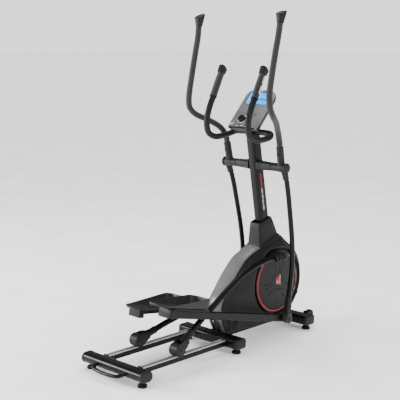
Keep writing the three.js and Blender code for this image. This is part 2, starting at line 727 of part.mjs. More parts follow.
// The flared cap ends in a slanting flat top.
function armCap() {
  const up = new THREE.Vector3(-0.02, 0.165, 0.986);
  const ring = (height, half, deep, slant) => {
    const points = [];
    for (let i = 0; i < 16; i += 1) {
      const angle = 2 * Math.PI * i / 16;
      const x = half * Math.cos(angle);
      const y = deep * Math.sin(angle);
      const z = height + slant * y;
      points.push(new THREE.Vector3(240 + x + up.x * z, -137 + y + up.y * z, 706.5 + up.z * z));
    }
    return points;
  };
  return loft([ring(3, 16.5, 16.5, 0), ring(32, 20, 21, 0.12), ring(52, 21, 24, 0.3), ring(56, 18, 21, 0.34)]);
}

function hubCap() {
  const x0 = 203.5;
  return loft([ovalRing(x0, 50, 50, 12), ovalRing(x0 + 9, 50, 50, 12), ovalRing(x0 + 13, 40, 40, 12)])
    .translate(0, -AXLE.y, -AXLE.z);
}

for (const { name, side } of SIDES) {
  const arm = new THREE.Group();
  arm.position.set(0, AXLE.y, AXLE.z);
  arm.rotation.x = THREE.MathUtils.degToRad(-side * ARM.swing);
  machine.add(arm);
  const lower = cut(armTube(), axial(100, 203.2, 0, 0, 22, 24));
  add(`arm_tube_${name}`, mirrored(lower, side), BLACK_STEEL, arm);
  add(`arm_hub_${name}`, mirrored(armHub(), side), CHARCOAL, arm);
  add(`arm_grip_${name}`, mirrored(armGrip(), side), FOAM, arm);
  add(`arm_cap_${name}`, mirrored(armCap(), side), CHARCOAL, arm);
  add(`axle_cap_${name}`, mirrored(hubCap(), side), CHARCOAL, arm);
}

// ---------------------------------------------------------------- pedal bars and pedals
// The bar runs straight back from its pin at the foot of the swing arm and carries a wide
// bracket under the pedal. Its own frame has the pin at the origin.
const BAR_LENGTH = 840;
const PITCH = { right: 13.3, left: 8.3 };       // rise towards the rear, degrees

function pedalBar() {
  const { inner, outer, tall, bracketInner, seat } = PEDAL_BAR;
  const section = roundedRectangle(outer - inner, tall, 6, 2);
  const bar = moved(beam(section, -BAR_LENGTH, 22), (inner + outer) / 2, 0, 0);
  const bracket = block(bracketInner, outer, -BAR_LENGTH, -BAR_LENGTH + 24, -21, seat);
  const shelf = block(bracketInner, outer, -BAR_LENGTH + 20, -BAR_LENGTH + 220, 17, seat);
  return join(bar, bracket, shelf);
}

// The pedal is a tray, rounder behind than in front. Its rim stands high inboard and in front,
// and drops to a low edge outboard and behind.
const PEDAL = { x: 112, wide: 128, long: 322, y: -736, floor: 32, rim: 7, rise: 39, round: { front: 36, rear: 58 } };

function ramp(value, low, high) {
  return Math.min(Math.max((value - low) / (high - low), 0), 1);
}

function pedalRing(inset, height) {
  const halfWide = PEDAL.wide / 2 - inset;
  const halfLong = PEDAL.long / 2 - inset;
  const quarters = [[1, 1, 0], [-1, 1, 90], [-1, -1, 180], [1, -1, 270]];
  return quarters.flatMap(([hx, hy, start]) => {
    const radius = (hy > 0 ? PEDAL.round.front : PEDAL.round.rear) - inset;
    return [0, 1, 2, 3, 4, 5].map((i) => {
      const angle = THREE.MathUtils.degToRad(start + 90 * i / 5);
      const x = hx * (halfWide - radius) + radius * Math.cos(angle);
      const y = hy * (halfLong - radius) + radius * Math.sin(angle);
      const inboard = THREE.MathUtils.smoothstep(-x, -10, PEDAL.wide * 0.45);
      const rise = PEDAL.rise * Math.max(ramp(y, 22, 124), inboard * ramp(y, -152, 20));
      return new THREE.Vector3(PEDAL.x + x, PEDAL.y + y, PEDAL.floor + height(rise));
    });
  });
}

function pedal() {
  return loft([
    pedalRing(14, () => -5), pedalRing(3, () => -2), pedalRing(0, (rise) => PEDAL.rim + rise),
    pedalRing(3, (rise) => PEDAL.rim + rise), pedalRing(9, () => 0.5), pedalRing(13, () => 0),
  ]);
}

for (const { name, side } of SIDES) {
  const swing = THREE.MathUtils.degToRad(-side * ARM.swing);
  const bar = new THREE.Group();
  bar.position.set(0,
    AXLE.y + LOWER_PIN[0] * Math.cos(swing) - LOWER_PIN[1] * Math.sin(swing),
    AXLE.z + LOWER_PIN[0] * Math.sin(swing) + LOWER_PIN[1] * Math.cos(swing));
  bar.rotation.x = THREE.MathUtils.degToRad(-PITCH[name]);
  machine.add(bar);
  add(`pedal_bar_${name}`, mirrored(pedalBar(), side), BLACK_STEEL, bar);
  add(`pedal_${name}`, mirrored(pedal(), side), CHARCOAL, bar);
}

// ---------------------------------------------------------------- links and rollers
// The link's own frame has the roller axle at the origin and the crank pin straight ahead.
const LINK_LENGTH = 821;
const LINK_CURVE = [[34, 10], [91, 17], [175, 33], [244, 44], [316, 53], [437, 67], [523, 72], [601, 64],
  [679, 49], [742, 31], [776, 18]];
const KNUCKLE = { back: 43, lift: 15 };           // the rear boss from the crank pin

function linkBody() {
  const curve = tube(LINK_CURVE.map(([y, z]) => [LINK.x, y, z]), LINK.radius, 18, 12);
  const knuckle = [[LINK_LENGTH, 0, 22], [LINK_LENGTH - KNUCKLE.back, KNUCKLE.lift, 19]];
  const bosses = knuckle.map(([y, z, r]) => axial(104, 150, y, z, r, 18));
  const web = slab(sideOutline([[-KNUCKLE.back, KNUCKLE.lift - 16], [0, -16], [0, 16], [-KNUCKLE.back, KNUCKLE.lift + 16]]), 108, 146)
    .translate(0, LINK_LENGTH, 0);
  const x0 = 100.5;
  const fork = [slab(roundCheek(), x0 - COVER.thick, x0), slab(roundCheek(), 141.5, 141.5 + COVER.thick)];
  const yoke = block(x0 - COVER.thick, 141.5 + COVER.thick, 34, 58, 0, 26);
  return join(curve, ...bosses, web, ...fork, yoke);
}

// Teardrop cheek: a round cover over the wheel that runs up into the link.
function roundCheek() {
  const outline = new THREE.Shape();
  const r = COVER.radius;
  outline.absarc(0, 0, r, THREE.MathUtils.degToRad(70), THREE.MathUtils.degToRad(335), false);
  outline.lineTo(62, 2);
  outline.lineTo(62, 28);
  outline.closePath();
  return outline;
}

function roller() {
  const half = ROLLER.wide / 2;
  const tyre = axial(LINK.x - half, LINK.x + half, 0, 0, ROLLER.radius, 28);
  return tyre;
}

for (const { name, side } of SIDES) {
  const link = new THREE.Group();
  link.position.set(0, ROLLER_Y[name], ROLLER.z);
  link.rotation.x = THREE.MathUtils.degToRad(LINK_PITCH[name]);
  machine.add(link);
  const clearance = axial(LINK.x - 18, LINK.x + 18, 0, 0, ROLLER.radius + 1.5, 28);
  add(`link_${name}`, mirrored(cut(linkBody(), clearance), side), BLACK_STEEL, link);
  add(`roller_${name}`, mirrored(roller(), side), BLACK_PLASTIC, link);
}

machine.position.y = -CENTRE_Y;
machine.updateMatrixWorld(true);

export default machine;
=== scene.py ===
"""Looks of a front-crank elliptical trainer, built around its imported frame.

Lengths in the piece code are millimetres at stations of the machine: X across, Y forward
from the rear stabilizer, Z up. One matrix per moving group turns them into the frame's metres.
"""
import json
import math

import bmesh
import bpy
from bpy.props import FloatProperty, FloatVectorProperty, PointerProperty
from mathutils import Matrix, Vector


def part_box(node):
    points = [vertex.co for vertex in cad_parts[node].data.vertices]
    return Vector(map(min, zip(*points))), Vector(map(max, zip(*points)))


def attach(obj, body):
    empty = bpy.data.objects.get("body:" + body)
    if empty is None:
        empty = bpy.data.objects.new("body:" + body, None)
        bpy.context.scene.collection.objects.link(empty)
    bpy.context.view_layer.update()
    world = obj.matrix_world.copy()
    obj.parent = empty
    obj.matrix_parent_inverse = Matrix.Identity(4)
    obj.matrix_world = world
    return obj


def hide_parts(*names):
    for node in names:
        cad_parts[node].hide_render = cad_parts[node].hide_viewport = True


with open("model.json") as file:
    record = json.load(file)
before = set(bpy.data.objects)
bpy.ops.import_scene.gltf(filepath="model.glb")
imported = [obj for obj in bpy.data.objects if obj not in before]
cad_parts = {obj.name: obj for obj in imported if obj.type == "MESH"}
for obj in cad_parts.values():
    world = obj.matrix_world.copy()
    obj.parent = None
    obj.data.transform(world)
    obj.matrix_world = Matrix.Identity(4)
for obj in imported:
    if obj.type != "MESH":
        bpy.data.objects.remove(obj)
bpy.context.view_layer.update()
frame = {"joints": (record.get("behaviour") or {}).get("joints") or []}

bl_info = {
    "name": "Elliptical Trainer",
    "version": (1, 0, 0),
    "blender": (4, 5, 0),
    "location": "View3D > Sidebar > Trainer",
    "description": "Builds the visible pieces and finishes of an elliptical trainer",
    "category": "Object",
}

MM = 0.001
SIDES = (("right", 1), ("left", -1))
PIVOT = {joint["name"]: Vector(joint["pos_m"]) for joint in frame["joints"] if "pos_m" in joint}


def centre(node):
    low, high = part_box(node)
    return (low + high) / 2


# ------------------------------------------------------------------ places, from the frame
REAR_LINE = centre("rear_stabilizer").y
CRANK_Y = (PIVOT["crank_spin"].y - REAR_LINE) / MM
CRANK_Z = PIVOT["crank_spin"].z / MM
AXLE = PIVOT["right_arm_swing"]
AXLE_Y = (AXLE.y - REAR_LINE) / MM
AXLE_Z = AXLE.z / MM
SWING = 2.5                                   # degrees each arm stands off its middle
BAR_RISE = {"right": 13.3, "left": 8.3}       # degrees the pedal bars rise to the rear
LINK_RISE = {"right": 23.36, "left": 2.2}     # degrees the links rise to the front
CONSOLE_TILT = 47.4


def machine_space(side=1):
    return Matrix.Translation((0, REAR_LINE, 0)) @ Matrix.Diagonal((side * MM, MM, MM, 1))


def hung_space(pivot, degrees, side=1):
    turn = Matrix.Rotation(math.radians(degrees), 4, "X")
    return Matrix.Translation((0, pivot.y, pivot.z)) @ turn @ Matrix.Diagonal((side * MM, MM, MM, 1))


def arm_space(side):
    return hung_space(AXLE, -side * SWING, side)


def bar_space(name, side):
    return hung_space(PIVOT[name + "_pedal_pivot"], -BAR_RISE[name], side)


def link_space(name, side):
    return hung_space(PIVOT[name + "_roller_spin"], LINK_RISE[name], side)


def console_space():
    return hung_space(Vector((0, REAR_LINE + 844 * MM, 1087 * MM)), CONSOLE_TILT)


# ------------------------------------------------------------------ sizes and colours
def linear(hex_colour, alpha=True):
    """An sRGB hex colour as the linear values that shaders use."""
    values = [int(hex_colour[i:i + 2], 16) / 255 for i in (1, 3, 5)]
    values = [v / 12.92 if v <= 0.04045 else ((v + 0.055) / 1.055) ** 2.4 for v in values]
    return (*values, 1.0) if alpha else tuple(values)


def colour_property(name, description, hex_colour):
    return FloatVectorProperty(name=name, description=description, subtype="COLOR", size=3,
                               min=0, max=1, default=linear(hex_colour, alpha=False))


def length_property(name, description, millimetres):
    return FloatProperty(name=name, description=description, unit="LENGTH", subtype="DISTANCE",
                         min=0, default=millimetres * MM)


class TrainerColours(bpy.types.PropertyGroup):
    steel: colour_property("Powder coat", "Black powder coat on the steel tubes", "#060606")
    charcoal: colour_property("Moulded covers", "Charcoal ABS of the covers and pedals", "#181819")
    silver: colour_property("Rear cover", "Satin silver-grey paint of the rear cover", "#68686a")
    console: colour_property("Console face", "Painted face of the console", "#6c6c6f")
    foam: colour_property("Grip foam", "Closed-cell foam of the grips", "#1c1c1d")
    accent: colour_property("Accent ring", "Enamel of the ring on the crank discs", "#c40006")
    display: colour_property("Display", "Back light of the display", "#2a9cf0")


class TrainerSizes(bpy.types.PropertyGroup):
    handle_tube: length_property("Handlebar tube", "Radius of the fixed handlebar", 15.5)
    arm_tube: length_property("Arm tube", "Radius of the lower swing arm", 13)
    arm_foam: length_property("Arm foam", "Radius of the foam on the swing arms", 15.5)
    grip_foam: length_property("Grip foam", "Radius of the fixed grips", 18.3)
    ring_width: length_property("Accent ring width", "Width of the ring on the crank disc", 4.2)


def colours():
    return bpy.context.scene.trainer_colours


def sizes():
    return bpy.context.scene.trainer_sizes


# ------------------------------------------------------------------ outlines and paths
def rounded(wide, tall, radius, steps=5):
    """Points round a rectangle with rounded corners, about its middle."""
    points = []
    quarters = ((wide / 2 - radius, tall / 2 - radius, 0), (radius - wide / 2, tall / 2 - radius, 90),
                (radius - wide / 2, radius - tall / 2, 180), (wide / 2 - radius, radius - tall / 2, 270))
    for u, v, start in quarters:
        for i in range(steps + 1):
            turn = math.radians(start + 90 * i / steps)
            points.append((u + radius * math.cos(turn), v + radius * math.sin(turn)))
    return points


def disc_outline(radius, steps=28, start=0):
    turns = [start + 2 * math.pi * i / steps for i in range(steps)]
    return [(radius * math.cos(turn), radius * math.sin(turn)) for turn in turns]


def smooth_path(points, count):
    """Evenly spaced points on the centripetal curve through the given ones."""
    knots = [Vector(p) for p in points]
    knots = [2 * knots[0] - knots[1], *knots, 2 * knots[-1] - knots[-2]]
    dense = []
    for a, b, c, d in zip(knots, knots[1:], knots[2:], knots[3:]):
        t1 = max((b - a).length, 1e-6) ** 0.5
        t2 = t1 + max((c - b).length, 1e-6) ** 0.5
        t3 = t2 + max((d - c).length, 1e-6) ** 0.5
        for i in range(24):
            t = t1 + (t2 - t1) * i / 24
            ab = a + (b - a) * (t / t1)
            bc = b + (c - b) * ((t - t1) / (t2 - t1))
            cd = c + (d - c) * ((t - t2) / (t3 - t2))
            abc = ab + (bc - ab) * (t / t2)
            bcd = bc + (cd - bc) * ((t - t1) / (t3 - t1))
            dense.append(abc + (bcd - abc) * ((t - t1) / (t2 - t1)))
    return spaced(dense + [knots[-2]], count)


def spaced(dense, count):
    """The same polyline with count evenly spaced points."""
    reach = [0.0]
    for a, b in zip(dense, dense[1:]):
        reach.append(reach[-1] + (b - a).length)
    result, at = [], 0
    for i in range(count):
        want = reach[-1] * i / (count - 1)
        while at < len(dense) - 2 and reach[at + 1] < want:
            at += 1
        span = max(reach[at + 1] - reach[at], 1e-9)
        result.append(dense[at].lerp(dense[at + 1], min((want - reach[at]) / span, 1)))
    return result


def ease(low, high, value):
    t = min(max((value - low) / (high - low), 0), 1)
    return t * t * (3 - 2 * t)


# ------------------------------------------------------------------ mesh tools
def skin(bm, rings, loop=False, caps=True):
    """Faces between closed rings of equal count; a loop joins the last to the first."""
    rows = [[bm.verts.new(point) for point in ring] for ring in rings]
    count = len(rows[0])
    for a, b in zip(rows, rows[1:] + (rows[:1] if loop else [])):
        for i in range(count):
            k = (i + 1) % count
            bm.faces.new((a[i], a[k], b[k], b[i]))
    if caps and not loop:
        bm.faces.new(rows[0][::-1])
        bm.faces.new(rows[-1])
    return rows


def sweep(bm, path, section, size=None, up=(1, 0, 0), caps=True):
    """A section carried along a path without twist; size(t) scales it on the way."""
    path = [Vector(p) for p in path]
    side = Vector(up)
    rings = []
    for i, here in enumerate(path):
        ahead = (path[min(i + 1, len(path) - 1)] - path[max(i - 1, 0)]).normalized()
        side = (side - ahead * side.dot(ahead)).normalized()
        other = ahead.cross(side)
        scale = size(i / (len(path) - 1)) if size else 1
        rings.append([here + (side * u + other * v) * scale for u, v in section])
    return skin(bm, rings, caps=caps)


def turned(bm, profile, where, steps=32, shape=None):
    """A profile of (radius, height) turned about the local Z axis of the matrix where."""
    rows = []
    for radius, height in profile:
        if radius < 1e-4:
            rows.append([bm.verts.new(where @ Vector((0, 0, height)))])
            continue
        row = []
        for i in range(steps):
            turn = 2 * math.pi * i / steps
            reach = radius * (shape(turn, radius, height) if shape else 1)
            row.append(bm.verts.new(where @ Vector((reach * math.cos(turn), reach * math.sin(turn),
                                                    height))))
        rows.append(row)
    for a, b in zip(rows, rows[1:]):
        for i in range(steps):
            k = (i + 1) % steps
            if len(a) == 1 and len(b) == 1:
                break
            if len(a) == 1:
                bm.faces.new((a[0], b[k], b[i]))
            elif len(b) == 1:
                bm.faces.new((a[i], a[k], b[0]))
            else:
                bm.faces.new((a[i], a[k], b[k], b[i]))
    if len(rows[0]) > 1 and len(rows[-1]) > 1:
        same = all((p.co - q.co).length < 1e-6 for p, q in zip(rows[0], rows[-1]))
        if same:
            bmesh.ops.weld_verts(bm, targetmap={q: p for p, q in zip(rows[0], rows[-1])})
        else:
            bm.faces.new(rows[0][::-1])
            bm.faces.new(rows[-1])


def prism(bm, outline, low, high, put):
    """An outline given thickness; put(a, b, depth) says where each point goes."""
    skin(bm, [[put(a, b, depth) for a, b in outline] for depth in (low, high)])


def pillow(bm, outline, low, high, put, soft, steps=3):
    """A prism whose upper rim is rounded off by soft."""
    middle = [sum(p[k] for p in outline) / len(outline) for k in (0, 1)]
    half = max(math.hypot(a - middle[0], b - middle[1]) for a, b in outline)
    rings = [[put(a, b, low) for a, b in outline]]
    for i in range(steps + 1):
        turn = math.pi / 2 * i / steps
        scale = 1 - soft * (1 - math.cos(turn)) / half
        depth = high - soft + soft * math.sin(turn) if high > low else high + soft - soft * math.sin(turn)
        rings.append([put(middle[0] + (a - middle[0]) * scale, middle[1] + (b - middle[1]) * scale, depth)
                      for a, b in outline])
    skin(bm, rings)


def side_view(a, b, depth):
    return Vector((depth, a, b))


def top_view(a, b, depth):
    return Vector((a, b, depth))


def rear_view(a, b, depth):
    return Vector((a, depth, b))


def aimed(position, direction):
    """A matrix whose local Z axis points along direction."""
    turn = Vector(direction).to_track_quat("Z", "X").to_matrix().to_4x4()
    return Matrix.Translation(Vector(position)) @ turn


def button_screw(bm, position, direction, radius=5.0, high=3.2):
    """A domed screw head with a hexagon socket."""
    where = aimed(position, direction)
    flat = lambda turn: 0.87 / math.cos((turn + math.pi / 6) % (math.pi / 3) - math.pi / 6)
    shape = lambda turn, r, h: flat(turn) if r <= radius * 0.42 else 1
    turned(bm, [(0, -1), (radius, -1), (radius, 0.4), (radius * 0.93, high * 0.55),
                (radius * 0.75, high * 0.88),
                (radius * 0.5, high), (radius * 0.42, high * 0.98), (radius * 0.41, high * 0.3),
                (0, high * 0.25)],
           where, 24, shape)


def hex_nut(bm, position, direction, across=13, high=6, washer=9.5):
    """A nut on its washer, with the end of the bolt standing through it."""
    where = aimed(position, direction)
    flat = lambda turn: 1 / math.cos((turn + math.pi / 6) % (math.pi / 3) - math.pi / 6)
    turned(bm, [(0, -0.5), (washer, -0.5), (washer, 0.9), (washer - 0.5, 1.4), (0, 1.4)], where, 28)
    shape = lambda turn, r, h: flat(turn) if r >= across / 2 - 0.1 else 1
    turned(bm, [(0, 1.3), (across / 2, 1.3), (across / 2, high), (across / 2 - 0.5, high + 0.9),
                (across * 0.3, high + 0.9), (across * 0.3, high + 2.6), (0, high + 3)], where, 24, shape)


def weld_bead(bm, path, radius=2.6):
    """A weld seam: a bead whose ripples follow one another along the joint."""
    points = spaced([Vector(p) for p in path], max(12, int(sum(
        (Vector(b) - Vector(a)).length for a, b in zip(path, path[1:])) / 2.2)))
    ripple = lambda t: 1 + 0.16 * math.sin(t * len(points) * 2.1)
    sweep(bm, points, disc_outline(radius, 8), ripple)


# ------------------------------------------------------------------ pieces
def piece(name, bm, space, finish, body, replaces=(), bevel=0, rounds=2, smooth=38, subdivide=0):
    """Turns a bmesh in millimetres into a finished piece that rides a body of the frame."""
    bm.transform(space)
    bmesh.ops.recalc_face_normals(bm, faces=bm.faces)
    mesh = bpy.data.meshes.new(name)
    bm.to_mesh(mesh)
    bm.free()
    made = bpy.data.objects.new(name, mesh)
    bpy.context.scene.collection.objects.link(made)
    mesh.materials.append(finish_for(finish))
    mesh.shade_smooth()
    if subdivide:
        step = made.modifiers.new("Fine surface", "SUBSURF")
        step.levels = step.render_levels = subdivide
    if bevel:
        step = made.modifiers.new("Broken edges", "BEVEL")
        step.width = bevel * MM
        step.segments = rounds
        step.limit_method = "ANGLE"
        step.angle_limit = math.radians(32)
        made.modifiers.new("Even shading", "WEIGHTED_NORMAL")
    elif not subdivide:
        mesh.set_sharp_from_angle(angle=math.radians(smooth))
    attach(made, body)
    if replaces:
        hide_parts(*replaces)
    return made


def carve(made, bm, space):
    """Cuts the closed shapes in bm out of a piece."""
    bm.transform(space)
    bmesh.ops.recalc_face_normals(bm, faces=bm.faces)
    mesh = bpy.data.meshes.new("cutter")
    bm.to_mesh(mesh)
    bm.free()
    cutter = bpy.data.objects.new("cutter", mesh)
    bpy.context.scene.collection.objects.link(cutter)
    step = made.modifiers.new("Cut", "BOOLEAN")
    step.operation = "DIFFERENCE"
    step.solver = "EXACT"
    step.object = cutter
    while made.modifiers[0] != step:
        bpy.context.view_layer.objects.active = made
        made.modifiers.move(len(made.modifiers) - 1, 0)
    graph = bpy.context.evaluated_depsgraph_get()
    others = [(m, m.show_viewport) for m in made.modifiers if m != step]
    for modifier, _ in others:
        modifier.show_viewport = False
    graph.update()
    result = bpy.data.meshes.new_from_object(made.evaluated_get(graph))
    for modifier, shown in others:
        modifier.show_viewport = shown
    made.modifiers.remove(step)
    bpy.data.objects.remove(cutter)
    old = made.data
    made.data = result
    result.name = made.name
    bpy.data.meshes.remove(old)
    if not made.modifiers:
        result.shade_smooth()
        result.set_sharp_from_angle(angle=math.radians(38))


# ------------------------------------------------------------------ finishes
def add_node(tree, kind, inputs=None, **settings):
    """Adds a shader node, sets its settings, and links or sets its inputs."""
    made = tree.nodes.new(kind)
    for key, value in settings.items():
        setattr(made, key, value)
    for key, value in (inputs or {}).items():
        if isinstance(value, bpy.types.NodeSocket):
            tree.links.new(value, made.inputs[key])
        else:
            made.inputs[key].default_value = value
    return made


def new_finish(name):
    """A material with its shader and a coordinate in metres that stays with the piece."""
    finish = bpy.data.materials.new(name)
    finish.use_nodes = True
    tree = finish.node_tree
    tree.nodes.clear()
    shader = add_node(tree, "ShaderNodeBsdfPrincipled")
    add_node(tree, "ShaderNodeOutputMaterial", {"Surface": shader.outputs[0]})
    where = add_node(tree, "ShaderNodeTexCoord").outputs["Object"]
    return finish, tree, shader, where


def speckle(tree, where, size_mm, detail=3, stretch=None):
    """Noise whose spots are size_mm wide; stretch lengthens them along an axis."""
    if stretch:
        where = add_node(tree, "ShaderNodeMapping", {"Vector": where, "Scale": stretch}).outputs[0]
    return add_node(tree, "ShaderNodeTexNoise",
                    {"Vector": where, "Scale": 1 / (size_mm * MM), "Detail": detail}).outputs["Fac"]


def between(tree, factor, low, high, start=0.3, end=0.7):
    """Maps a pattern to a value between low and high."""
    return add_node(tree, "ShaderNodeMapRange", {"Value": factor, "From Min": start, "From Max": end,
                                                 "To Min": low, "To Max": high}).outputs[0]


def tinted(tree, factor, dark, light, start=0.35, end=0.65):
    """Maps a pattern to a colour between dark and light, both linear."""
    ramp = add_node(tree, "ShaderNodeValToRGB", {"Fac": factor})
    for element, place, colour in zip(ramp.color_ramp.elements, (start, end), (dark, light)):
        element.position = place
        element.color = (*colour[:3], 1)
    return ramp.outputs[0]


def relief(tree, height, depth_mm, strength=1.0, under=None):
    inputs = {"Height": height, "Distance": depth_mm * MM, "Strength": strength}
    if under:
        inputs["Normal"] = under
    return add_node(tree, "ShaderNodeBump", inputs).outputs[0]


def shade(colour, factor):
    return tuple(min(c * factor, 1) for c in colour[:3])


def set_inputs(tree, shader, **inputs):
    for key, value in inputs.items():
        socket = shader.inputs[key.replace("_", " ")]
        if isinstance(value, bpy.types.NodeSocket):
            tree.links.new(value, socket)
        else:
            socket.default_value = value


def powder_coat():
    """Polyester powder coat baked on steel: a soft satin gloss over faint orange peel."""
    finish, tree, shader, where = new_finish("powder_coated_steel_black")
    base = colours().steel
    cloud = speckle(tree, where, 60, 4)
    peel = speckle(tree, where, 1.6, 2)            # real peel is about 1 mm, drawn a little coarser
    scuff = speckle(tree, where, 9, 6)
    set_inputs(tree, shader, Base_Color=tinted(tree, cloud, shade(base, 0.75), shade(base, 1.3)),
               Roughness=between(tree, scuff, 0.26, 0.4), IOR=1.5, Specular_IOR_Level=0.2,
               Normal=relief(tree, peel, 0.04, 0.4))
    return finish


def moulded_abs(name, base, rough=0.5, grain_mm=1.1, depth_mm=0.06):
    """Injection-moulded ABS with a spark-eroded texture: a fine even grain, no gloss."""
    finish, tree, shader, where = new_finish(name)
    grain = speckle(tree, where, grain_mm, 4)      # 0.3 mm in life, drawn coarser so that it shows
    flow = speckle(tree, where, 140, 2)
    rub = speckle(tree, where, 14, 5)
    set_inputs(tree, shader, Base_Color=tinted(tree, flow, shade(base, 0.88), shade(base, 1.12)),
               Roughness=between(tree, rub, rough - 0.05, rough + 0.07), IOR=1.53, Specular_IOR_Level=0.22,
               Normal=relief(tree, grain, depth_mm, 0.55))
    return finish


def silver_paint(name, base, metal=0.3, rough=0.36):
    """Satin metallic paint over moulded ABS: fine raised flakes, each with a painted glint that lightens or
    darkens its colour at random.
    """
    finish, tree, shader, where = new_finish(name)
    flake = add_node(tree, "ShaderNodeTexVoronoi",
                     {"Vector": where, "Scale": 1 / (0.9 * MM)}).outputs["Color"]
    flake_relief_and_painted_glint = add_node(tree, "ShaderNodeSeparateColor", {"Color": flake}).outputs[0]
    cloud = speckle(tree, where, 90, 3)
    wear = speckle(tree, where, 5, 5)
    tone = tinted(tree, cloud, shade(base, 0.93), shade(base, 1.07))
    # Painted glint: each flake's colour is made lighter or darker at random, as if it caught the light; the
    # same cells also raise the flakes a little.
    painted_flake_glint = tinted(tree, flake_relief_and_painted_glint, (0.82, 0.82, 0.82), (1.18, 1.18, 1.18), 0, 1)
    mixed = add_node(tree, "ShaderNodeMix", data_type="RGBA", blend_type="MULTIPLY")
    tree.links.new(tone, mixed.inputs[6])
    tree.links.new(painted_flake_glint, mixed.inputs[7])
    mixed.inputs[0].default_value = 0.35
    set_inputs(tree, shader, Base_Color=mixed.outputs[2], Metallic=metal,
               Roughness=between(tree, wear, rough - 0.04, rough + 0.06), IOR=1.5,
               Normal=relief(tree, flake_relief_and_painted_glint, 0.012, 0.4))
    return finish


def grip_foam():
    """Closed-cell nitrile foam, ground to size: matt, with small open pores."""
    finish, tree, shader, where = new_finish("closed_cell_foam_ground")
    base = colours().foam
    cells = add_node(tree, "ShaderNodeTexVoronoi",
                     {"Vector": where, "Scale": 1 / (1.5 * MM)}).outputs["Distance"]
    pits = between(tree, cells, 0, 1, 0.1, 0.6)
    cloud = speckle(tree, where, 35, 4)
    set_inputs(tree, shader, Base_Color=tinted(tree, cloud, shade(base, 0.8), shade(base, 1.2)),
               Roughness=between(tree, pits, 0.95, 0.8, 0, 1), IOR=1.45,
               Normal=relief(tree, pits, 0.16, 0.6))
    shader.inputs["Sheen Weight"].default_value = 0.15
    shader.inputs["Sheen Roughness"].default_value = 0.6
    return finish


def moulded_rubber(name="moulded_rubber_black", base=None):
    """Compression-moulded rubber: deep black, dull, dusty in its hollows."""
    finish, tree, shader, where = new_finish(name)
    base = base or linear("#070707")
    dust = speckle(tree, where, 18, 6)
    skin_grain = speckle(tree, where, 0.9, 3)
    set_inputs(tree, shader, Base_Color=tinted(tree, dust, shade(base, 0.8), shade(base, 1.7)),
               Roughness=between(tree, dust, 0.62, 0.84), IOR=1.5, Specular_IOR_Level=0.3,
               Normal=relief(tree, skin_grain, 0.05, 0.5))
    return finish


def extruded_aluminium():
    """Extruded and clear-anodised aluminium: bright, with die lines along its length."""
    finish, tree, shader, where = new_finish("anodised_aluminium_extruded")
    lines = speckle(tree, where, 0.8, 2, (1, 0.004, 1))
    smear = speckle(tree, where, 22, 4, (1, 0.2, 1))
    set_inputs(tree, shader, Base_Color=tinted(tree, lines, linear("#bfc1c4"), linear("#e4e5e7")),
               Metallic=0.75,
               Roughness=between(tree, smear, 0.24, 0.4), Normal=relief(tree, lines, 0.02, 0.5))
    return finish


def blackened_steel():
    """Black-oxide steel for screws and pins: nearly black, a low oily sheen on the edges."""
    finish, tree, shader, where = new_finish("steel_black_oxide")
    cloud = speckle(tree, where, 4, 5)
    set_inputs(tree, shader, Base_Color=tinted(tree, cloud, linear("#131314"), linear("#232325")),
               Metallic=0.6,
               Roughness=between(tree, cloud, 0.3, 0.46), Normal=relief(tree, cloud, 0.01, 0.3))
    return finish


def plated_steel():
    """Bright zinc plate on steel: cool grey with a slightly uneven gloss."""
    finish, tree, shader, where = new_finish("zinc_plated_steel")
    cloud = speckle(tree, where, 6, 5)
    set_inputs(tree, shader, Base_Color=tinted(tree, cloud, linear("#9a9c9f"), linear("#c6c8ca")),
               Metallic=1.0,
               Roughness=between(tree, cloud, 0.2, 0.36), Normal=relief(tree, cloud, 0.01, 0.3))
    return finish


def brushed_stainless():
    """Stainless steel sheet, brushed along its length: fine parallel scratches."""
    finish, tree, shader, where = new_finish("stainless_steel_brushed")
    lines = speckle(tree, where, 0.7, 2, (1, 0.05, 0.05))
    set_inputs(tree, shader, Base_Color=tinted(tree, lines, linear("#c9cacb"), linear("#eeeeee")),
               Metallic=1.0,
               Roughness=between(tree, lines, 0.22, 0.36), Normal=relief(tree, lines, 0.012, 0.4))
    return finish


def bright_chrome():
    """Chrome plate on plastic: mirror bright, with a trace of waviness."""
    finish, tree, shader, where = new_finish("chrome_plated_trim")
    wave = speckle(tree, where, 7, 2)
    set_inputs(tree, shader, Base_Color=tinted(tree, wave, linear("#d2d3d5"), linear("#f2f2f3")),
               Metallic=1.0,
               Roughness=between(tree, wave, 0.07, 0.14), Normal=relief(tree, wave, 0.01, 0.3))
    return finish


def gloss_enamel():
    """Pad-printed enamel: an even, slightly glossy film of colour."""
    finish, tree, shader, where = new_finish("printed_enamel_red")
    base = colours().accent
    film = speckle(tree, where, 12, 3)
    set_inputs(tree, shader, Base_Color=tinted(tree, film, shade(base, 0.9), shade(base, 1.1)),
               Roughness=between(tree, film, 0.26, 0.38), IOR=1.5, Normal=relief(tree, film, 0.01, 0.3))
    return finish


def printed_white():
    """White pad-printed ink on plastic: thin, nearly matt."""
    finish, tree, shader, where = new_finish("printed_ink_white")
    film = speckle(tree, where, 3, 3)
    set_inputs(tree, shader, Base_Color=tinted(tree, film, linear("#bdbdbd"), linear("#dedede")),
               Roughness=between(tree, film, 0.4, 0.55), IOR=1.5)
    return finish


def cast_iron():
    """Cast iron, turned on its rim: dark, with fine tool rings and a lacquer gloss."""
    finish, tree, shader, where = new_finish("cast_iron_turned")
    grain = speckle(tree, where, 1.4, 5)
    set_inputs(tree, shader, Base_Color=tinted(tree, grain, linear("#242528"), linear("#45474b")),
               Metallic=0.9,
               Roughness=between(tree, grain, 0.34, 0.52), Normal=relief(tree, grain, 0.05, 0.5))
    return finish


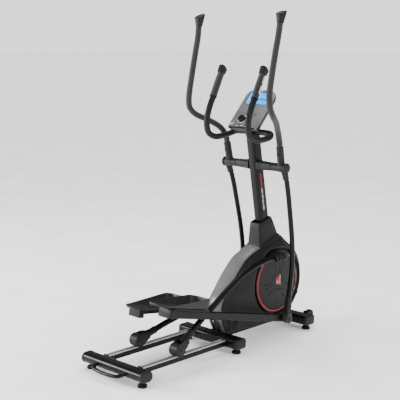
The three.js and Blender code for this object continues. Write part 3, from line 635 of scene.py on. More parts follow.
def back_lit_display():
    """Liquid-crystal panel lit from behind: an even blue with a faint cell pattern."""
    finish, tree, shader, where = new_finish("liquid_crystal_panel_lit")
    base = colours().display
    cloud = speckle(tree, where, 40, 2)
    tone = tinted(tree, cloud, shade(base, 0.86), shade(base, 1.1))
    set_inputs(tree, shader, Base_Color=tone, Roughness=0.16, IOR=1.5, Emission_Color=tone)
    shader.inputs["Emission Strength"].default_value = 0.9
    shader.inputs["Coat Weight"].default_value = 0.6
    return finish


def studio_floor():
    """Seamless white backdrop paper: matt, with the faintest mottling."""
    finish, tree, shader, where = new_finish("backdrop_paper_white")
    mottle = speckle(tree, where, 300, 3)
    set_inputs(tree, shader, Base_Color=tinted(tree, mottle, linear("#f6f6f6"), linear("#ffffff")),
               Roughness=0.95)
    shader.inputs["Specular IOR Level"].default_value = 0.1
    return finish


FINISHES = {}


def finish_for(slot):
    """The finish of each of the record's material slots, made once, and a few extra trims."""
    if not FINISHES:
        tones = colours()
        FINISHES.update(
            black_steel=powder_coat(),
            charcoal_plastic=moulded_abs("abs_moulded_charcoal", tones.charcoal),
            grey_cap=moulded_abs("abs_moulded_dark_grey", linear("#29292a"), 0.46),
            sleeve=moulded_abs("vinyl_sleeve_dark_grey", linear("#161617"), 0.5),
            tray=moulded_abs("abs_moulded_tray", linear("#222223"), 0.42),
            black_plastic=moulded_abs("abs_moulded_black", linear("#111112"), 0.38, 1.3, 0.03),
            grey_plastic=silver_paint("abs_painted_silver_grey", tones.silver),
            console_paint=silver_paint("abs_painted_console_grey", tones.console, 0.3, 0.42),
            console_panel=silver_paint("abs_painted_console_panel", shade(tones.console, 0.8), 0.3, 0.44),
            grip_foam=grip_foam(), rubber=moulded_rubber(), track_aluminium=extruded_aluminium(),
            bright_steel=plated_steel(), dark_steel=blackened_steel(), stainless=brushed_stainless(),
                        chrome=bright_chrome(),
            accent=gloss_enamel(), print_white=printed_white(), cast_iron=cast_iron(),
            display=back_lit_display(),
            display_ink=moulded_abs("liquid_crystal_segments_dark", linear("#123a5c"), 0.3, 1.0, 0.01),
            polyurethane=moulded_abs("polyurethane_cast_smoke", linear("#3a3a3c"), 0.42, 2.0, 0.02),
        )
    return FINISHES[slot]


# ------------------------------------------------------------------ stage
def area_light(name, position, target, size, watts):
    lamp = bpy.data.lights.new(name, "AREA")
    lamp.shape = "DISK"
    lamp.size = size
    lamp.energy = watts
    made = bpy.data.objects.new(name, lamp)
    made.location = position
    made.rotation_euler = (Vector(target) - Vector(position)).to_track_quat("-Z", "Y").to_euler()
    bpy.context.scene.collection.objects.link(made)


FLOOR_HALF = 90                   # metres, far enough to hide its edge from the camera
FLOOR_GAP = 0.0005                # metres below the feet
ROOM_LIGHT, ROOM_SHINE = 1.7, 0.3    # strength for lit surfaces and for mirrored rays
LAMP_AIM = (0, 0, 0.8)
LAMPS = (("key_softbox", (-3.2, -3.0, 1.7), 1.3, 230),     # position, diameter, watts
         ("side_softbox", (4.4, -0.4, 2.6), 1.6, 60),
         ("top_softbox", (-0.9, 0.9, 4.4), 1.5, 70))
CAMERA_LENS, CAMERA_SENSOR = 84.72, 36    # millimetres
CAMERA_AT = (3.1498, -3.2802, 1.5319)
CAMERA_DOWN, CAMERA_TURN = 9.7355, 44.26  # degrees below level, degrees about the vertical


def build_stage():
    bm = bmesh.new()
    bmesh.ops.create_grid(bm, x_segments=8, y_segments=8, size=FLOOR_HALF)
    mesh = bpy.data.meshes.new("floor")
    bm.to_mesh(mesh)
    bm.free()
    mesh.materials.append(studio_floor())
    floor = bpy.data.objects.new("floor", mesh)
    floor.location = (0, 0, -FLOOR_GAP)
    bpy.context.scene.collection.objects.link(floor)

    # A white room that lights evenly; what shines sees it dimmed, so that blacks stay black.
    world = bpy.data.worlds.new("studio")
    world.use_nodes = True
    tree = world.node_tree
    tree.nodes.clear()
    mirrored = add_node(tree, "ShaderNodeLightPath").outputs["Is Glossy Ray"]
    room = add_node(tree, "ShaderNodeBackground", {"Color": (1, 1, 1, 1), "Strength": ROOM_LIGHT})
    dimmed = add_node(tree, "ShaderNodeBackground", {"Color": (1, 1, 1, 1), "Strength": ROOM_SHINE})
    mixed = add_node(tree, "ShaderNodeMixShader", {0: mirrored, 1: room.outputs[0], 2: dimmed.outputs[0]})
    add_node(tree, "ShaderNodeOutputWorld", {"Surface": mixed.outputs[0]})
    bpy.context.scene.world = world
    for name, position, size, watts in LAMPS:
        area_light(name, position, LAMP_AIM, size, watts)

    camera = bpy.data.cameras.new("camera")
    camera.lens = CAMERA_LENS
    camera.sensor_width = CAMERA_SENSOR
    made = bpy.data.objects.new("camera", camera)
    made.location = CAMERA_AT
    made.rotation_euler = (math.radians(90 - CAMERA_DOWN), 0, math.radians(CAMERA_TURN))
    bpy.context.scene.collection.objects.link(made)
    bpy.context.scene.camera = made


# ------------------------------------------------------------------ stabilizers, feet and rails
BAR = {"wide": 72, "tall": 50, "z": 52}
STATIONS = {"rear": (0, 210, 177, 24), "mid": (634, 202, 169, 12), "front": (1190, 198, 167, 12)}
CAP_LONG = 15


def bar_ring(x, y, corner, grow):
    outline = rounded(BAR["wide"] + 2 * grow, BAR["tall"] + 2 * grow, corner + grow, 8)
    return [Vector((x, y + a, BAR["z"] + b)) for a, b in outline]


def build_stabilizers():
    space = machine_space()
    for place, (y, half, _, corner) in STATIONS.items():
        bm = bmesh.new()
        inner = half - CAP_LONG
        skin(bm, [bar_ring(x, y, corner, -0.6) for x in (-inner - 8, inner + 8)])
        replaced = [place + "_stabilizer"]
        piece(place + "_stabilizer_tube", bm, space, "black_steel", "frame", replaced)
        for name, side in SIDES:
            bm = bmesh.new()
            steps = ((inner, -0.6), (inner, 0.2), (inner + 1, 0.6), (half - 5, 0.6), (half - 2.6, -0.2),
                     (half - 0.8, -2), (half, -5))
            skin(bm, [bar_ring(side * x, y, corner, grow) for x, grow in steps])
            piece(f"{place}_end_cap_{name}", bm, space, "charcoal_plastic", "frame")
    bm = bmesh.new()
    for x in (-42, 42):
        button_screw(bm, (x, 634, 77), (0, 0, 1), 7.5, 4.5)
        button_screw(bm, (x * 0.6, 1190, 77), (0, 0, 1), 7.5, 4.5)
    for x in (-119, 119):
        hex_nut(bm, (x, 0, 26.5), (0, 0, -1), 12, 5, 9)
    piece("stabilizer_bolts", bm, space, "dark_steel", "frame")


def build_feet():
    """A levelling foot: ribbed rubber pad, waist, threaded stud and lock nut."""
    flutes = lambda turn, radius, height: 1 + (0.012 * math.cos(turn * 24) if 2.5 < height < 12 else 0)
    for place, (y, _, x, _) in STATIONS.items():
        for name, side in SIDES:
            low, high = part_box(f"{place}_foot_{name}")
            radius = (high.x - low.x) / 2 / MM
            where = Matrix.Translation((side * x, y, 0))
            bm = bmesh.new()
            turned(bm, [(0, 0), (radius * 0.9, 0), (radius * 0.97, 1), (radius - 0.3, 2.8),
                        (radius - 0.3, 9),
                        (radius - 1, 11), (radius * 0.82, 13.5), (radius * 0.74, 14.5), (radius * 0.68, 17),
                        (radius * 0.55, 18), (0, 18)], where, 96, flutes)
            node = f"{place}_foot_{name}"
            piece(node + "_pad", bm, machine_space(), "rubber", "frame", [node])
            bm = bmesh.new()
            hexagon = lambda turn, r, h: (1 / math.cos((turn + math.pi / 6) % (math.pi / 3) - math.pi / 6)
                                          if r > 8 else 1)
            turned(bm, [(0, 17.5), (4.8, 17.5), (4.8, 20), (9, 20.2), (9.4, 20.8), (9.4, 25), (9, 25.6),
                        (4.8, 25.8), (4.8, 28), (0, 28)], where, 48, hexagon)
            piece(node + "_stud", bm, machine_space(), "bright_steel", "frame")


RAIL = {"wide": 34, "low": 38, "high": 63, "start": 36.3, "end": 597.7}
TRACK_SIDE = ((17, 63.3), (17, 66.2), (16.2, 67), (13.2, 67), (12.4, 66), (11.4, 66), (10.6, 67), (5.6, 67),
              (4.8, 63.9))


def build_rails():
    for name, _ in SIDES:
        x = centre("rail_" + name).x / MM
        middle = (RAIL["low"] + RAIL["high"]) / 2
        section = [(x + a, middle + b) for a, b in rounded(RAIL["wide"], RAIL["high"] - RAIL["low"], 3, 4)]
        bm = bmesh.new()
        skin(bm, [[Vector((a, y, b)) for a, b in section] for y in (RAIL["start"] - 4, RAIL["end"] + 4)])
        for y in (RAIL["start"] - 0.5, RAIL["end"] + 0.5):
            ring = [(x - 17, y, 63), (x - 17, y, 38), (x + 17, y, 38), (x + 17, y, 63)]
            weld_bead(bm, ring, 2.2)
        piece(f"rail_tube_{name}", bm, machine_space(), "black_steel", "frame",
              ["rail_" + name])
        outline = [(x + a, b) for a, b in TRACK_SIDE] + [(x - a, b) for a, b in TRACK_SIDE[::-1]]
        bm = bmesh.new()
        prism(bm, outline, RAIL["start"] + 8, RAIL["end"] - 8, rear_view)
        piece(f"rail_extrusion_{name}", bm, machine_space(), "track_aluminium", "frame",
              ["rail_track_" + name], bevel=0.25, rounds=1)
        bm = bmesh.new()
        for y in (RAIL["start"] + 4, RAIL["end"] - 4):
            stop = [(x + a, y + b) for a, b in rounded(31, 9, 3, 4)]
            pillow(bm, stop, 62.5, 70.5, top_view, 2)
        piece(f"rail_stops_{name}", bm, machine_space(), "black_plastic", "frame")
        # The slot of the extrusion carries a strip of black rubber between its two lips.
        # A strip with the black rubber finish lies in the slot of the extrusion, between its two lips, as
        # painted shade: a dark sheet where the slot lies in shadow.
        bm = bmesh.new()
        prism(bm, [(x + a, b) for a, b in ((-4.7, 63.6), (4.7, 63.6), (4.3, 65.4), (-4.3, 65.4))],
              RAIL["start"] + 9, RAIL["end"] - 9, rear_view)
        piece(f"rail_slot_painted_shade_{name}", bm, machine_space(), "rubber", "frame")


LIFT_PATH = ((-97, -34, 50.5), (-97, -48, 47), (-84, -65, 42), (-50, -72.5, 39), (0, -75, 38),
             (50, -72.5, 39),
             (84, -65, 42), (97, -48, 47), (97, -34, 50.5))


def build_lift_handle():
    bm = bmesh.new()
    sweep(bm, smooth_path(LIFT_PATH, 90), disc_outline(8.8, 24), up=(0, 0, 1))
    for x in (-97, 97):
        ring = [(x + 9.6 * math.cos(t), -35.4 + 1.6 * math.sin(t) ** 2, 49.8 + 9.4 * math.sin(t))
                for t in [2 * math.pi * i / 20 for i in range(21)]]
        weld_bead(bm, ring, 1.8)
    piece("rear_lift_rod", bm, machine_space(), "black_steel", "frame",
          ["rear_lift_handle"], smooth=60)


def build_transport_wheels():
    for name, _ in SIDES:
        hub = centre("transport_wheel_" + name)
        x, y, z = hub.x / MM, (hub.y - REAR_LINE) / MM, hub.z / MM
        where = aimed((x, y, z), (1, 0, 0))
        ribs = lambda turn, r, h: 1 - (0.02 if r > 24 and int(turn / (2 * math.pi) * 36 + 0.5) % 2 else 0)
        bm = bmesh.new()
        turned(bm, [(16, -10), (23, -11), (25, -10), (26, -7.5), (26, 7.5), (25, 10), (23, 11), (16, 10),
                    (16, -10)], where, 72, ribs)
        body = name + "_transport_wheel"
        piece("wheel_tyre_" + name, bm, machine_space(), "rubber", body,
              ["transport_wheel_" + name])
        bm = bmesh.new()
        turned(bm, [(5.4, -11), (9, -11), (9.6, -4), (14, -3.4), (15, -9.6), (16.2, -9.6), (16.2, 9.6),
                    (15, 9.6), (14, 3.4), (9.6, 4), (9, 11), (5.4, 11), (5.4, -11)], where, 40)
        piece("wheel_hub_" + name, bm, machine_space(), "black_plastic", body)
        bm = bmesh.new()
        plate = [(1222, 40), (1222, 82), (1240, 82), (1264, 72), (1267, 62), (1264, 53), (1240, 46)]
        for hand in (-1, 1):
            near = x + hand * 12
            prism(bm, plate, near, near + hand * 3.5, side_view)
        piece("wheel_fork_" + name, bm, machine_space(), "black_steel", "frame",
              bevel=0.8)
        bm = bmesh.new()
        turned(bm, [(0, -13), (5, -13), (5, 13), (0, 13)], where, 20)
        for hand in (-1, 1):
            button_screw(bm, (x + hand * 15.4, y, z), (hand, 0, 0), 7, 3.4)
        piece("wheel_axle_" + name, bm, machine_space(), "dark_steel", "frame")


def build_main_frame():
    """Welded frame: spine, rear post, crank tower with its bearing shell, flywheel cheeks."""
    def tube(bm, wide, low, high, y0, y1, radius=6):
        section = [(a, (low + high) / 2 + b) for a, b in rounded(wide, high - low, radius, 5)]
        skin(bm, [[Vector((a, y, b)) for a, b in section] for y in (y0, y1)])

    bm = bmesh.new()
    tube(bm, 50, 32, 98, 671, 1153)
    section = [(a, 696 + b) for a, b in rounded(50, 51, 6, 5)]
    skin(bm, [[Vector((a, b, z)) for a, b in section] for z in (62, 128)])
    prism(bm, [(1000, 92), (1062, 92), (1058, 300), (1056, 498), (1003, 498), (1000, 300)], -19, 19,
          side_view)
    turned(bm, [(10.6, -33), (27, -33), (27, 33), (10.6, 33), (10.6, -33)],
           aimed((0, CRANK_Y, CRANK_Z), (1, 0, 0)), 36)
    for x0, x1 in ((15, 20), (-20, -15)):
        prism(bm, [(776, 92), (848, 92), (826, 236), (798, 236)], x0, x1, side_view)
    piece("welded_frame", bm, machine_space(), "black_steel", "frame", ["main_frame"],
          smooth=35)
    bm = bmesh.new()
    for y in (671.5, 1152):
        weld_bead(bm, [(-25, y, 90), (-25, y, 38), (-19, y, 32.5), (19, y, 32.5), (25, y, 38), (25, y, 90)],
                  2.6)
        weld_bead(bm, [(-25, y, 92), (-19, y, 98), (19, y, 98), (25, y, 92)], 2.6)
    piece("frame_welds", bm, machine_space(), "black_steel", "frame")


# ------------------------------------------------------------------ housing
COLLAR_REAR = (950, 459)
COLLAR_FRONT = (1104, 507)
FRONT_ROUND = 222
REAR_EDGE = (COLLAR_REAR, (902, 443), (864, 428), (825, 404), (787, 369), (748, 328), (708, 280),
             (668, 228), (656, 190), (664, 130), (690, 64))
EDGE = 47                       # half width of the housing along its back and top
RECESS = 178                    # radius of the well round the crank disc
LIP = 88                        # how far the rim of the well stands from the middle
WELL_FLOOR = 68
COVER_CROWN = 9


def around_front(degrees):
    turn = math.radians(degrees)
    return CRANK_Y + FRONT_ROUND * math.cos(turn), CRANK_Z + FRONT_ROUND * math.sin(turn)


def run(points, count):
    return [(p.y, p.z) for p in smooth_path([(0, y, z) for y, z in points], count + 1)][:count]


def housing_outline():
    """Points (y, z, half width at the edge, depth of the wall) once round the housing."""
    rows = []

    def stretch(pairs, first, last, depth):
        rows.extend((y, z, first + (last - first) * i / len(pairs), depth)
                    for i, (y, z) in enumerate(pairs))

    stretch(run(REAR_EDGE, 72), EDGE, EDGE, 30)
    stretch(run([REAR_EDGE[-1], around_front(-97)], 26), EDGE, 58, 28)
    arc = [around_front(-97 + 139 * i / 72) for i in range(72)]
    stretch(arc[:26], 58, 60, 28)
    stretch(arc[26:], 60, 58, 0.4)
    stretch(run([around_front(42), (1146, 470), COLLAR_FRONT], 16), 58, 53, 0.4)
    stretch(run([COLLAR_FRONT, COLLAR_REAR], 24), 52, EDGE, 30)
    return rows


def build_side_covers():
    outline = housing_outline()

    def round_crank(radius, x):
        ring = []
        for y, z, _, _ in outline:
            scale = radius / math.hypot(y - CRANK_Y, z - CRANK_Z)
            ring.append(Vector((x, CRANK_Y + (y - CRANK_Y) * scale, CRANK_Z + (z - CRANK_Z) * scale)))
        return ring

    def across(t, inset):
        """A ring part of the way from the rim of the well to the outline."""
        ring = []
        for y, z, edge, _ in outline:
            dy, dz = y - CRANK_Y, z - CRANK_Z
            reach = math.hypot(dy, dz)
            start, end = RECESS + 9, reach - 6 - inset
            radius = start + (end - start) * t
            fall = ease(0, 1, t)
            x = LIP - inset - (LIP - edge - 5) * fall
            ring.append(Vector((x, CRANK_Y + dy / reach * radius, CRANK_Z + dz / reach * radius)))
        return ring

    def rim(inset, x_of):
        ring = []
        for row in outline:
            y, z = row[:2]
            dy, dz = y - CRANK_Y, z - CRANK_Z
            reach = math.hypot(dy, dz)
            radius = reach - inset
            ring.append(Vector((x_of(row), CRANK_Y + dy / reach * radius, CRANK_Z + dz / reach * radius)))
        return ring

    outer = [round_crank(24, WELL_FLOOR), round_crank(RECESS - 5, WELL_FLOOR),
             round_crank(RECESS - 1.5, 69.5),
             round_crank(RECESS, 73), round_crank(RECESS, 79.5), round_crank(RECESS + 0.6, 80.4),
             round_crank(RECESS + 3.2, 80.6), round_crank(RECESS + 3.8, 81.4),
             round_crank(RECESS + 4.2, 85.5),
             round_crank(RECESS + 5.2, 87.6), round_crank(RECESS + 6.6, LIP)]
    outer += [across(t, 0) for t in (0, 0.08, 0.18, 0.3, 0.44, 0.58, 0.72, 0.85, 0.94, 1)]
    outer += [rim(3.4, lambda row: row[2] + 4.6), rim(1.4, lambda row: row[2] + 3.4),
              rim(-1.2, lambda row: row[2] + 2.2), rim(-2.6, lambda row: row[2] + 0.6),
              rim(-2.6, lambda row: row[2] - 0.4), rim(-0.2, lambda row: row[2] - 0.6),
              rim(0, lambda row: min(row[2] - 4, max(row[3], row[2] - 4))), rim(0, lambda row: row[3])]
    inner = [rim(3, lambda row: row[3]), rim(4, lambda row: row[2] - 6), across(1, 3), across(0.5, 3),
             across(0.05, 3), round_crank(RECESS + 3, 76), round_crank(RECESS + 3, WELL_FLOOR),
             round_crank(RECESS - 2, WELL_FLOOR - 3), round_crank(24, WELL_FLOOR - 3)]
    for name, side in SIDES:
        bm = bmesh.new()
        skin(bm, outer + inner, loop=True)
        cover = piece("side_shell_" + name, bm, machine_space(side), "charcoal_plastic", "frame",
                      ["side_cover_" + name], smooth=32)
        cutters = bmesh.new()
        for column in range(2):
            for row in range(7):
                y, z = 703 + column * 42, 70 + row * 10.5
                bend = [(y - 17, z - 2.4), (y, z + 1.6), (y + 17, z - 2.4), (y + 17, z + 1.4), (y, z + 5.4),
                        (y - 17, z + 1.4)]
                prism(cutters, bend, 20, 75, side_view)
        carve(cover, cutters, machine_space(side))
        bm = bmesh.new()
        for y, z in ((720, 180), (1150, 420), (1215, 180), (960, 66)):
            dy, dz = y - CRANK_Y, z - CRANK_Z
            reach = math.hypot(dy, dz)
            x = 0.0
            for cy, cz, edge, _ in outline:
                here = math.hypot(cy - CRANK_Y, cz - CRANK_Z)
                if (dy * (cy - CRANK_Y) + dz * (cz - CRANK_Z)) / (reach * here) > 0.9995:
                    t = (reach - RECESS - 9) / (here - 6 - RECESS - 9)
                    x = LIP - (LIP - edge - 5) * ease(0, 1, t)
            turned(bm, [(0, -3), (6.5, -3), (6.5, 0.3), (5.9, 0.7), (4.2, 0.5), (3.8, -1.2), (0, -1.4)],
                   aimed((x, y, z), (1, 0, 0)), 28)
        piece("shell_screw_cups_" + name, bm, machine_space(side), "black_plastic", "frame")


def build_rear_cover():
    """The crowned strip that closes the back of the housing, with a softly raised spine."""
    path = run(REAR_EDGE, 64) + [REAR_EDGE[-1]]
    across = 28
    rings = []
    for i, (y, z) in enumerate(path):
        before, after = path[max(i - 1, 0)], path[min(i + 1, len(path) - 1)]
        length = math.hypot(after[0] - before[0], after[1] - before[1])
        out_y, out_z = (after[1] - before[1]) / length, (before[0] - after[0]) / length
        ring = []
        for inset, direction in ((0, 1), (3, -1)):
            for k in range(across + 1):
                u = direction * (2 * k / across - 1)
                edge_drop = 2.4 * ease(0.93, 1, abs(u))
                high = 4.6 + COVER_CROWN * (1 - abs(u) ** 2.2) - inset - edge_drop
                ring.append(Vector(((EDGE - 0.9) * u, y + out_y * high, z + out_z * high)))
        rings.append(ring)
    bm = bmesh.new()
    skin(bm, rings)
    cover = piece("rear_cover_panel", bm, machine_space(), "grey_plastic", "frame",
                  ["rear_cover"], smooth=40)
    notch = bmesh.new()
    outline = [(-27, 0), (27, 0), (27, 124), (24, 130), (18, 132), (-18, 132), (-24, 130), (-27, 124)]
    prism(notch, outline, 600, 770, rear_view)
    carve(cover, notch, machine_space())


def collar_ring(rear, front, half, grow=0.0, corner=13):
    """A level-cornered ring of the collar between two stations given as (y, z)."""
    long = math.hypot(front[0] - rear[0], front[1] - rear[1])
    ring = []
    for a, b in rounded(2 * (half + grow), long + 2 * grow, corner + grow, 7):
        t = b / long + 0.5
        ring.append(Vector((a, rear[0] + (front[0] - rear[0]) * t, rear[1] + (front[1] - rear[1]) * t)))
    return ring


def build_collar():
    steps = (((950, 456), (1103, 505), 48.6, -2.4), ((950, 459), (1103, 507.5), 49, -1.8),
             ((950, 460.4), (1103, 508.5), 50, 3.6), ((950.4, 466), (1101.6, 513), 50, 4),
             ((951, 469), (1099.6, 516), 49.4, 3), ((951.3, 472.5), (1097, 518.5), 47, -0.6),
             ((951.5, 476), (1095, 522), 46.4, -1), ((952.5, 500), (1086, 543), 44, -0.6),
             ((954.5, 545), (1070, 580), 41, -0.4), ((956.6, 580), (1056, 609), 37.6, -0.2),
             ((957, 585), (1054, 613), 37, -1.2), ((957.2, 586.5), (1053.6, 614.5), 36, -3.5))
    outer = [collar_ring(*row[:3], row[3]) for row in steps]
    inner = [collar_ring(*row[:3], row[3] - 3, 13) for row in (steps[-1], steps[5], steps[0])]
    bm = bmesh.new()
    skin(bm, outer + inner, loop=True)
    piece("mast_collar_shell", bm, machine_space(), "charcoal_plastic", "frame",
          ["mast_collar"], smooth=34)


# ------------------------------------------------------------------ mast, axle and fixed handlebar
MAST = {"wide": 50, "deep": 67, "top": 1062, "top_y": 935, "lean": 0.169}


def mast_y(z):
    return MAST["top_y"] + (MAST["top"] - z) * MAST["lean"]


def build_mast():
    section = rounded(MAST["wide"], MAST["deep"], 14, 8)
    bm = bmesh.new()
    skin(bm, [[Vector((a, mast_y(z) + b, z)) for a, b in section] for z in (500, 760, MAST["top"])])
    piece("mast_tube", bm, machine_space(), "black_steel", "frame", ["mast"])
    lean = math.atan(MAST["lean"])
    face = MAST["wide"] / 2 + 0.15
    for name, low, high, finish in (("mast_dashes_white", 655, 768, "print_white"),
                                    ("mast_dashes_red", 776, 846, "accent")):
        bm = bmesh.new()
        for row in range(int((high - low) / 9.4) + 1):
            z = low + row * 9.4
            put = lambda a, b, depth: Vector((depth, mast_y(z + a) - 2 + b, z + a * math.cos(lean)))
            pillow(bm, rounded(4.6, 11 if row % 3 else 7, 1.2, 3), face - 0.6, face, put, 0.15, 2)
        piece(name, bm, machine_space(), finish, "frame")


def oval(x, deep, tall, steps=48, power=3.2, shift=0.0):
    ring = []
    for i in range(steps):
        turn = 2 * math.pi * i / steps
        c, s = math.cos(turn), math.sin(turn)
        square = 1 / max(abs(c) ** power + abs(s) ** power, 1e-6) ** (1 / power)
        ring.append(Vector((x, AXLE_Y + deep / 2 * c * square + shift, AXLE_Z + tall / 2 * s * square)))
    return ring


def build_axle_covers():
    for name, side in SIDES:
        bm = bmesh.new()
        steps = ((25.2, 52, 48), (26.4, 54.5, 50.5), (33, 54.5, 50.5), (35, 53, 49), (70, 48, 44.5),
                 (112, 42.5, 40.5), (117, 42, 40), (119.4, 40, 38), (120.2, 36, 34))
        skin(bm, [oval(*step) for step in steps])
        piece("axle_shroud_" + name, bm, machine_space(side), "charcoal_plastic", "frame",
              ["axle_cover_" + name], smooth=30)
        bm = bmesh.new()
        for x, z in ((48, 916.4), (100, 914)):
            button_screw(bm, (x, AXLE_Y, z), (0, 0, 1), 4, 2.2)
        piece("axle_shroud_screws_" + name, bm, machine_space(side), "dark_steel", "frame")
    bm = bmesh.new()
    turned(bm, [(0, -203), (11, -203), (12, -201.5), (12, 201.5), (11, 203), (0, 203)],
           aimed((0, AXLE_Y, AXLE_Z), (1, 0, 0)), 40)
    piece("swing_axle_rod", bm, machine_space(), "bright_steel", "frame",
          ["swing_axle"])


HANDLE_SIDE = ((60, 938, 1063.5), (118, 934, 1060), (138, 905, 1047), (138, 800, 1040), (138, 752, 1066),
               (138, 741, 1120), (138, 757, 1182), (138, 787, 1243))
GRIP_START = Vector((138, 787.4, 1243.9))
GRIP_END = Vector((138, 862, 1388))
PLATE_TURN = math.radians(-18)                 # how far the pulse plates turn from straight out


def build_handlebar():
    radius = sizes().handle_tube / MM
    left = [(-x, y, z) for x, y, z in HANDLE_SIDE][::-1]
    path = smooth_path([*left, (0, 938, 1064.5), *HANDLE_SIDE], 150)
    bm = bmesh.new()
    sweep(bm, path, disc_outline(radius, 28))
    piece("handlebar_tube", bm, machine_space(), "sleeve", "frame",
          ["fixed_handlebar"], smooth=60)
    bm = bmesh.new()
    clamp = rounded(58, 42, 9, 6)
    for low, high in ((1058, 1063), (1063.5, 1080)):
        skin(bm, [[Vector((a * s, 938 + b * s, z)) for a, b in clamp]
                  for z, s in ((low, 0.97), (low + 1, 1), (high - 1.5, 1), (high, 0.94))])
    piece("handlebar_clamp", bm, machine_space(), "black_plastic", "frame")
    bm = bmesh.new()
    for x in (-20, 20):
        hex_nut(bm, (x, 951, 1080), (0, 0, 1), 10, 4, 7)
    piece("handlebar_clamp_bolts", bm, machine_space(), "dark_steel", "frame")


def grip_axis(t):
    """A point on the middle line of the right fixed grip, t from 0 at its foot to 1."""
    middle = GRIP_START.lerp(GRIP_END, 0.5) + Vector((0, -3, 2))
    return GRIP_START * (1 - t) ** 2 + middle * (2 * t * (1 - t)) + GRIP_END * t ** 2


def build_fixed_grips():
    radius = sizes().grip_foam / MM
    for name, side in SIDES:
        space = machine_space(side)
        path = [grip_axis(i / 60) for i in range(61)]

        def swell(t):
            foot = 0.06 * ease(0.1, 0, t)
            belly = 0.04 * math.sin(math.pi * min(t / 0.8, 1)) ** 2
            return 0.96 + foot + belly + 0.05 * ease(0.76, 0.96, t)

        bm = bmesh.new()
        sweep(bm, path[1:49], disc_outline(radius, 40), lambda t: swell(t * 0.8))
        piece("pulse_grip_body_" + name, bm, space, "grip_foam", "frame",
              ["fixed_grip_" + name], smooth=60)
        bm = bmesh.new()
        axis = (GRIP_START - Vector((138, 757, 1182))).normalized()
        turned(bm, [(15, -3), (17.6, -3), (18.6, -2), (18.6, 3), (17.6, 4), (15, 4), (15, -3)],
               aimed(GRIP_START - axis * 2, axis), 40)
        piece("pulse_grip_collar_" + name, bm, space, "black_plastic", "frame")

        # The cap flares a little and is cut off flat, tilted towards the user.
        bm = bmesh.new()
        start, end = grip_axis(0.79), grip_axis(1)
        up = (end - start).normalized()
        out = Vector((1, 0, 0))
        back = up.cross(out)
        long = (end - start).length
        rings = []
        for height, wide, deep, slant in ((0, 18.2, 18.2, 0), (0.6, 19.2, 19.2, 0),
                                          (long * 0.35, 20.6, 20.4, 0),
                                          (long - 9, 22, 22, 0.1), (long - 2.5, 21.4, 21.4, 0.34),
                                          (long - 0.6, 19.4, 19.4, 0.36)):
            ring = []
            for i in range(40):
                turn = 2 * math.pi * i / 40
                c, s = math.cos(turn), math.sin(turn)
                square = 1 / (abs(c) ** 2.6 + abs(s) ** 2.6) ** (1 / 2.6)
                v = deep * s * square
                ring.append(start + out * (wide * c * square) + back * v + up * (height - slant * v))
            rings.append(ring)
        skin(bm, rings)
        piece("pulse_grip_cap_" + name, bm, space, "charcoal_plastic", "frame", smooth=30)

        # Two stainless plates are let into the outboard side of the grip, one above the other.
        bm = bmesh.new()
        for first, last in ((0.16, 0.45), (0.48, 0.77)):
            rings = []
            for i in range(25):
                t = first + (last - first) * i / 24
                here, ahead = grip_axis(t), grip_axis(t + 0.01)
                along = (ahead - here).normalized()
                rearward = Vector((1, 0, 0)).cross(along)
                facing = Vector((math.cos(PLATE_TURN), 0, 0)) + rearward * math.sin(PLATE_TURN)
                sideways = along.cross(facing)
                narrow = min(1, math.sin(math.pi * min(i, 24 - i) / 5 / 2) if min(i, 24 - i) < 5 else 1)
                half = math.radians(4 + 28 * narrow)
                reach = radius * swell(t)
                ring = []
                for lift, order in ((0.55, 1), (-1.2, -1)):
                    for k in range(9):
                        turn = order * half * (2 * k / 8 - 1)
                        edge = 0.5 if lift > 0 and k in (0, 8) else 0
                        ring.append(here + (facing * math.cos(turn) + sideways * math.sin(turn))
                                    * (reach + lift - edge))
                rings.append(ring)
            skin(bm, rings)
        piece("pulse_plates_" + name, bm, space, "stainless", "frame", smooth=30)


# ------------------------------------------------------------------ console
CONSOLE = {"wide": 190, "long": 254, "deep": 42}
SCREEN = {"y": 197, "wide": 140, "tall": 76}
KNOB_AT = (-26, 57)
BUTTONS_AT = ((-76, 28), (-38, 14), (-6, 22))


def console_outline(inset, foot=0.0):
    """The face seen square on: near-square foot, shoulders rounded into a slightly bowed top."""
    half, top, low = CONSOLE["wide"] / 2 - inset, CONSOLE["long"] - inset, inset + foot
    corners = [((-half + 12, low), None), ((half - 12, low), None), ((half, low), (half, low + 14)),
               ((half, top - 46), None), ((half, top - 6), (half - 46, top - 3)),
               ((0, top + 3), (-half + 46, top - 3)), ((-half, top - 6), (-half, top - 46)),
               ((-half, low + 14), None), ((-half, low), (-half + 12, low))]
    points = []
    for control, end in corners:
        if end is None:
            points.append(Vector((*control, 0)))
            continue
        start, control, end = points[-1].copy(), Vector((*control, 0)), Vector((*end, 0))
        for i in range(1, 13):
            t = i / 12
            points.append(start * (1 - t) ** 2 + control * (2 * t * (1 - t)) + end * t ** 2)
    return [(p.x, p.y) for p in points[:-1]]


def plate(bm, outline, low, high, soft=0.0, steps=3):
    if soft:
        pillow(bm, outline, low, high, top_view, soft, steps)
    else:
        prism(bm, outline, low, high, top_view)


def shifted(outline, x, y):
    return [(a + x, b + y) for a, b in outline]


def outline_rings(bm, levels):
    """Skins the console outline at (inset, foot, height) levels."""
    skin(bm, [[Vector((a, b, z)) for a, b in console_outline(inset, foot)] for inset, foot, z in levels])


